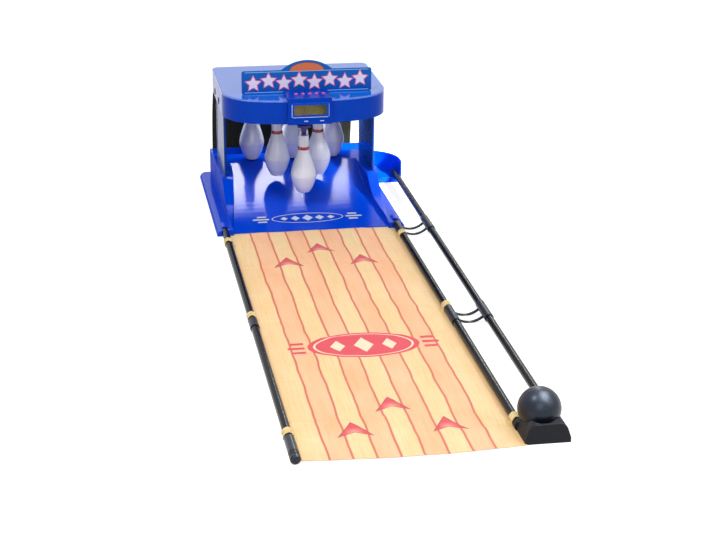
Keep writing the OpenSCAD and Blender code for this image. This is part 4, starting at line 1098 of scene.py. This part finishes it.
class BOWLING_OT_track(bpy.types.Operator):
    """Finish the tubes, sleeves, bridges and end cap"""
    bl_idname = "bowling.track"
    bl_label = "Tubes and track"

    def execute(self, context):
        s = context.scene.bowling_track
        tube = moulded("tube_black", s.tube, rough=0.17, grain=0.05, wave=0.5, edge=0.0004,
                       dust=0.01, shine=0.12)
        sleeve = moulded("sleeve_black", s.sleeve, rough=0.28, grain=0.3, edge=0.0006,
                         dust=0.02, shine=0.2)
        # The cap's edges are made much lighter than rubbed wear alone: a painted highlight
        # along its ridges, with some rubbed wear.
        cap = moulded("cap_black", s.sleeve, rough=0.3, grain=0.3, rub_tone=0.6, dust=0.1,
                      shine=0.3)
        paint(tube, *(node for node in NODES
                      if node.startswith(("left_tube", "inner_rail", "outer_rail"))))
        paint(sleeve, "left_coupler", "bridge_rear", "bridge_front")
        paint(cap, "left_end_cap")
        return {"FINISHED"}


class BOWLING_OT_ball(bpy.types.Operator):
    """Finish the ball and its cradle"""
    bl_idname = "bowling.ball"
    bl_label = "Ball and cradle"

    def execute(self, context):
        s = context.scene.bowling_track
        cradle = moulded("cradle_grey", s.cradle, rough=0.5, grain=1.0, edge=0.0016,
                         relief=0.0003, dust=0.03, shine=0.12)
        ball = moulded("ball_black", s.ball, rough=0.33, grain=0.3, wave=0.8, edge=0.0,
                       dust=0.02, Specular_Tint=rgb(206, 222, 250))
        paint(cradle, "ball_cradle")
        paint(ball, "ball")
        return {"FINISHED"}


# Stage


class BOWLING_OT_stage(bpy.types.Operator):
    """Set the white floor, the soft lamps and the camera"""
    bl_idname = "bowling.stage"
    bl_label = "Stage"

    def execute(self, context):
        s = context.scene.bowling_stage
        scene = context.scene
        scene.view_settings.view_transform = "Standard"
        world = scene.world or bpy.data.worlds.new("studio")
        scene.world = world
        world.use_nodes = True
        g = Graph(world.node_tree)
        back = world.node_tree.nodes["Background"]
        g.put(back.inputs["Color"], (1, 1, 1))
        g.put(back.inputs["Strength"], g.add(g.mul(g.seen(), 1 - s.sky), s.sky))
        self.floor()
        self.lamp("key_lamp", (-1.1, -0.9, 2.7), (0.0, 0.1, 0.0), s.key, 0.6)
        self.lamp("fill_lamp", (1.9, -1.7, 1.9), (0.0, 0.0, 0.1), s.fill, 1.8)
        self.lamp("front_lamp", (-0.2, -2.5, 1.25), (0.0, 0.6, 0.15), s.front, 1.2)
        self.lamp("sheen_lamp", at(-12, 342, 216), at(-12, 230, 46), s.sheen, 0.34, 0.10,
                  spread=32, hidden=GLOSS_ONLY)
        self.lamp("rear_lamp", at(-12, 378, 200), at(-12, 250, 60), s.rear, 0.34, 0.06,
                  hidden=LIGHT_ONLY)
        self.lamp("streak_lamp", (1.0, 3.2, 2.3), (0.0, -0.3, 0.0), s.streak, 0.2, 1.8,
                  hidden=GLOSS_ONLY)
        self.lamp("side_lamp", (1.3, -0.7, 1.1), at(330, 320, 60), s.side, 0.2, spread=14)
        ball = Vector(middle(*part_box("ball")))
        self.lamp("gleam_lamp", ball + Vector((0.34, -0.02, 1.0)), ball, s.gleam, 1.1, 0.6,
                  spread=80, hidden=GLOSS_ONLY)
        self.camera(scene)
        return {"FINISHED"}

    def floor(self):
        """A matt white floor that also glows a little where it is seen."""
        g = Surface("white_floor", shine=0.0, Emission_Color=(1, 1, 1))
        g.put(g.out["Emission Strength"], g.mul(g.seen(), 0.71))
        pale, paler = [0.58] * 3, [0.6] * 3
        paper = g.mix(g.noise(g.place(), 3.0), paler, pale, 0.02)
        side, z = 14.0, -0.0004
        data = bpy.data.meshes.new("floor")
        data.from_pydata([(-side, -side, z), (side, -side, z), (side, side, z),
                          (-side, side, z)], [], [(0, 1, 2, 3)])
        data.materials.append(g.finish(paper, 1.0))
        add_object("floor", data)

    def lamp(self, name, place, target, watts, width, height=None, spread=180, hidden=()):
        """A square or oblong lamp; hidden names the rays that don't see it."""
        data = bpy.data.lights.new(name, "AREA")
        data.shape = "RECTANGLE" if height else "SQUARE"
        data.size, data.size_y, data.energy = width, height or width, watts
        data.spread = radians(spread)
        lamp = add_object(name, data)
        way = Vector(target) - Vector(place)
        lamp.location, lamp.rotation_euler = place, way.to_track_quat("-Z", "Y").to_euler()
        for ray in hidden:
            setattr(lamp, f"visible_{ray}", False)

    def camera(self, scene):
        """The camera, fitted to the straight lines of the lane, tubes and cabinet."""
        data = bpy.data.cameras.new("photo_camera")
        data.sensor_width, data.lens = 36.0, 85.475
        data.clip_start, data.clip_end = 0.05, 100
        eye = add_object("photo_camera", data)
        pan, tilt, roll = radians(-9.96), radians(69.96), radians(0.42)
        turn = (Matrix.Rotation(pan, 3, "Z") @ Matrix.Rotation(tilt, 3, "X")
                @ Matrix.Rotation(roll, 3, "Z"))
        eye.rotation_euler = turn.to_euler()
        eye.location = (-0.57840, -3.38365, 1.28640)
        scene.camera = eye


# Panel and registration

STEPS = ("stage", "base", "cabinet", "console", "pins", "sign", "backstop", "lane_cloth",
         "track", "ball")


class BOWLING_PT_panel(bpy.types.Panel):
    """Lists the operators that dress the frame"""
    bl_idname = "BOWLING_PT_panel"
    bl_label = "Table bowling game"
    bl_space_type = "VIEW_3D"
    bl_region_type = "UI"
    bl_category = "Bowling"

    def draw(self, context):
        for step in STEPS:
            self.layout.operator(f"bowling.{step}")


SETTINGS = {"bowling_lane": LaneSettings, "bowling_cabinet": CabinetSettings,
            "bowling_pins": PinSettings, "bowling_track": TrackSettings,
            "bowling_stage": StageSettings}
CLASSES = tuple(SETTINGS.values()) + (
    BOWLING_OT_stage, BOWLING_OT_base, BOWLING_OT_cabinet, BOWLING_OT_console,
    BOWLING_OT_pins, BOWLING_OT_sign, BOWLING_OT_backstop, BOWLING_OT_lane_cloth,
    BOWLING_OT_track, BOWLING_OT_ball, BOWLING_PT_panel)


def register():
    for c in CLASSES:
        bpy.utils.register_class(c)
    for name, kind in SETTINGS.items():
        setattr(bpy.types.Scene, name, bpy.props.PointerProperty(type=kind))


def unregister():
    for name in SETTINGS:
        delattr(bpy.types.Scene, name)
    for c in reversed(CLASSES):
        bpy.utils.unregister_class(c)


def main():
    register()
    for step in STEPS:
        getattr(bpy.ops.bowling, step)()


if __name__ == "__main__":
    main()
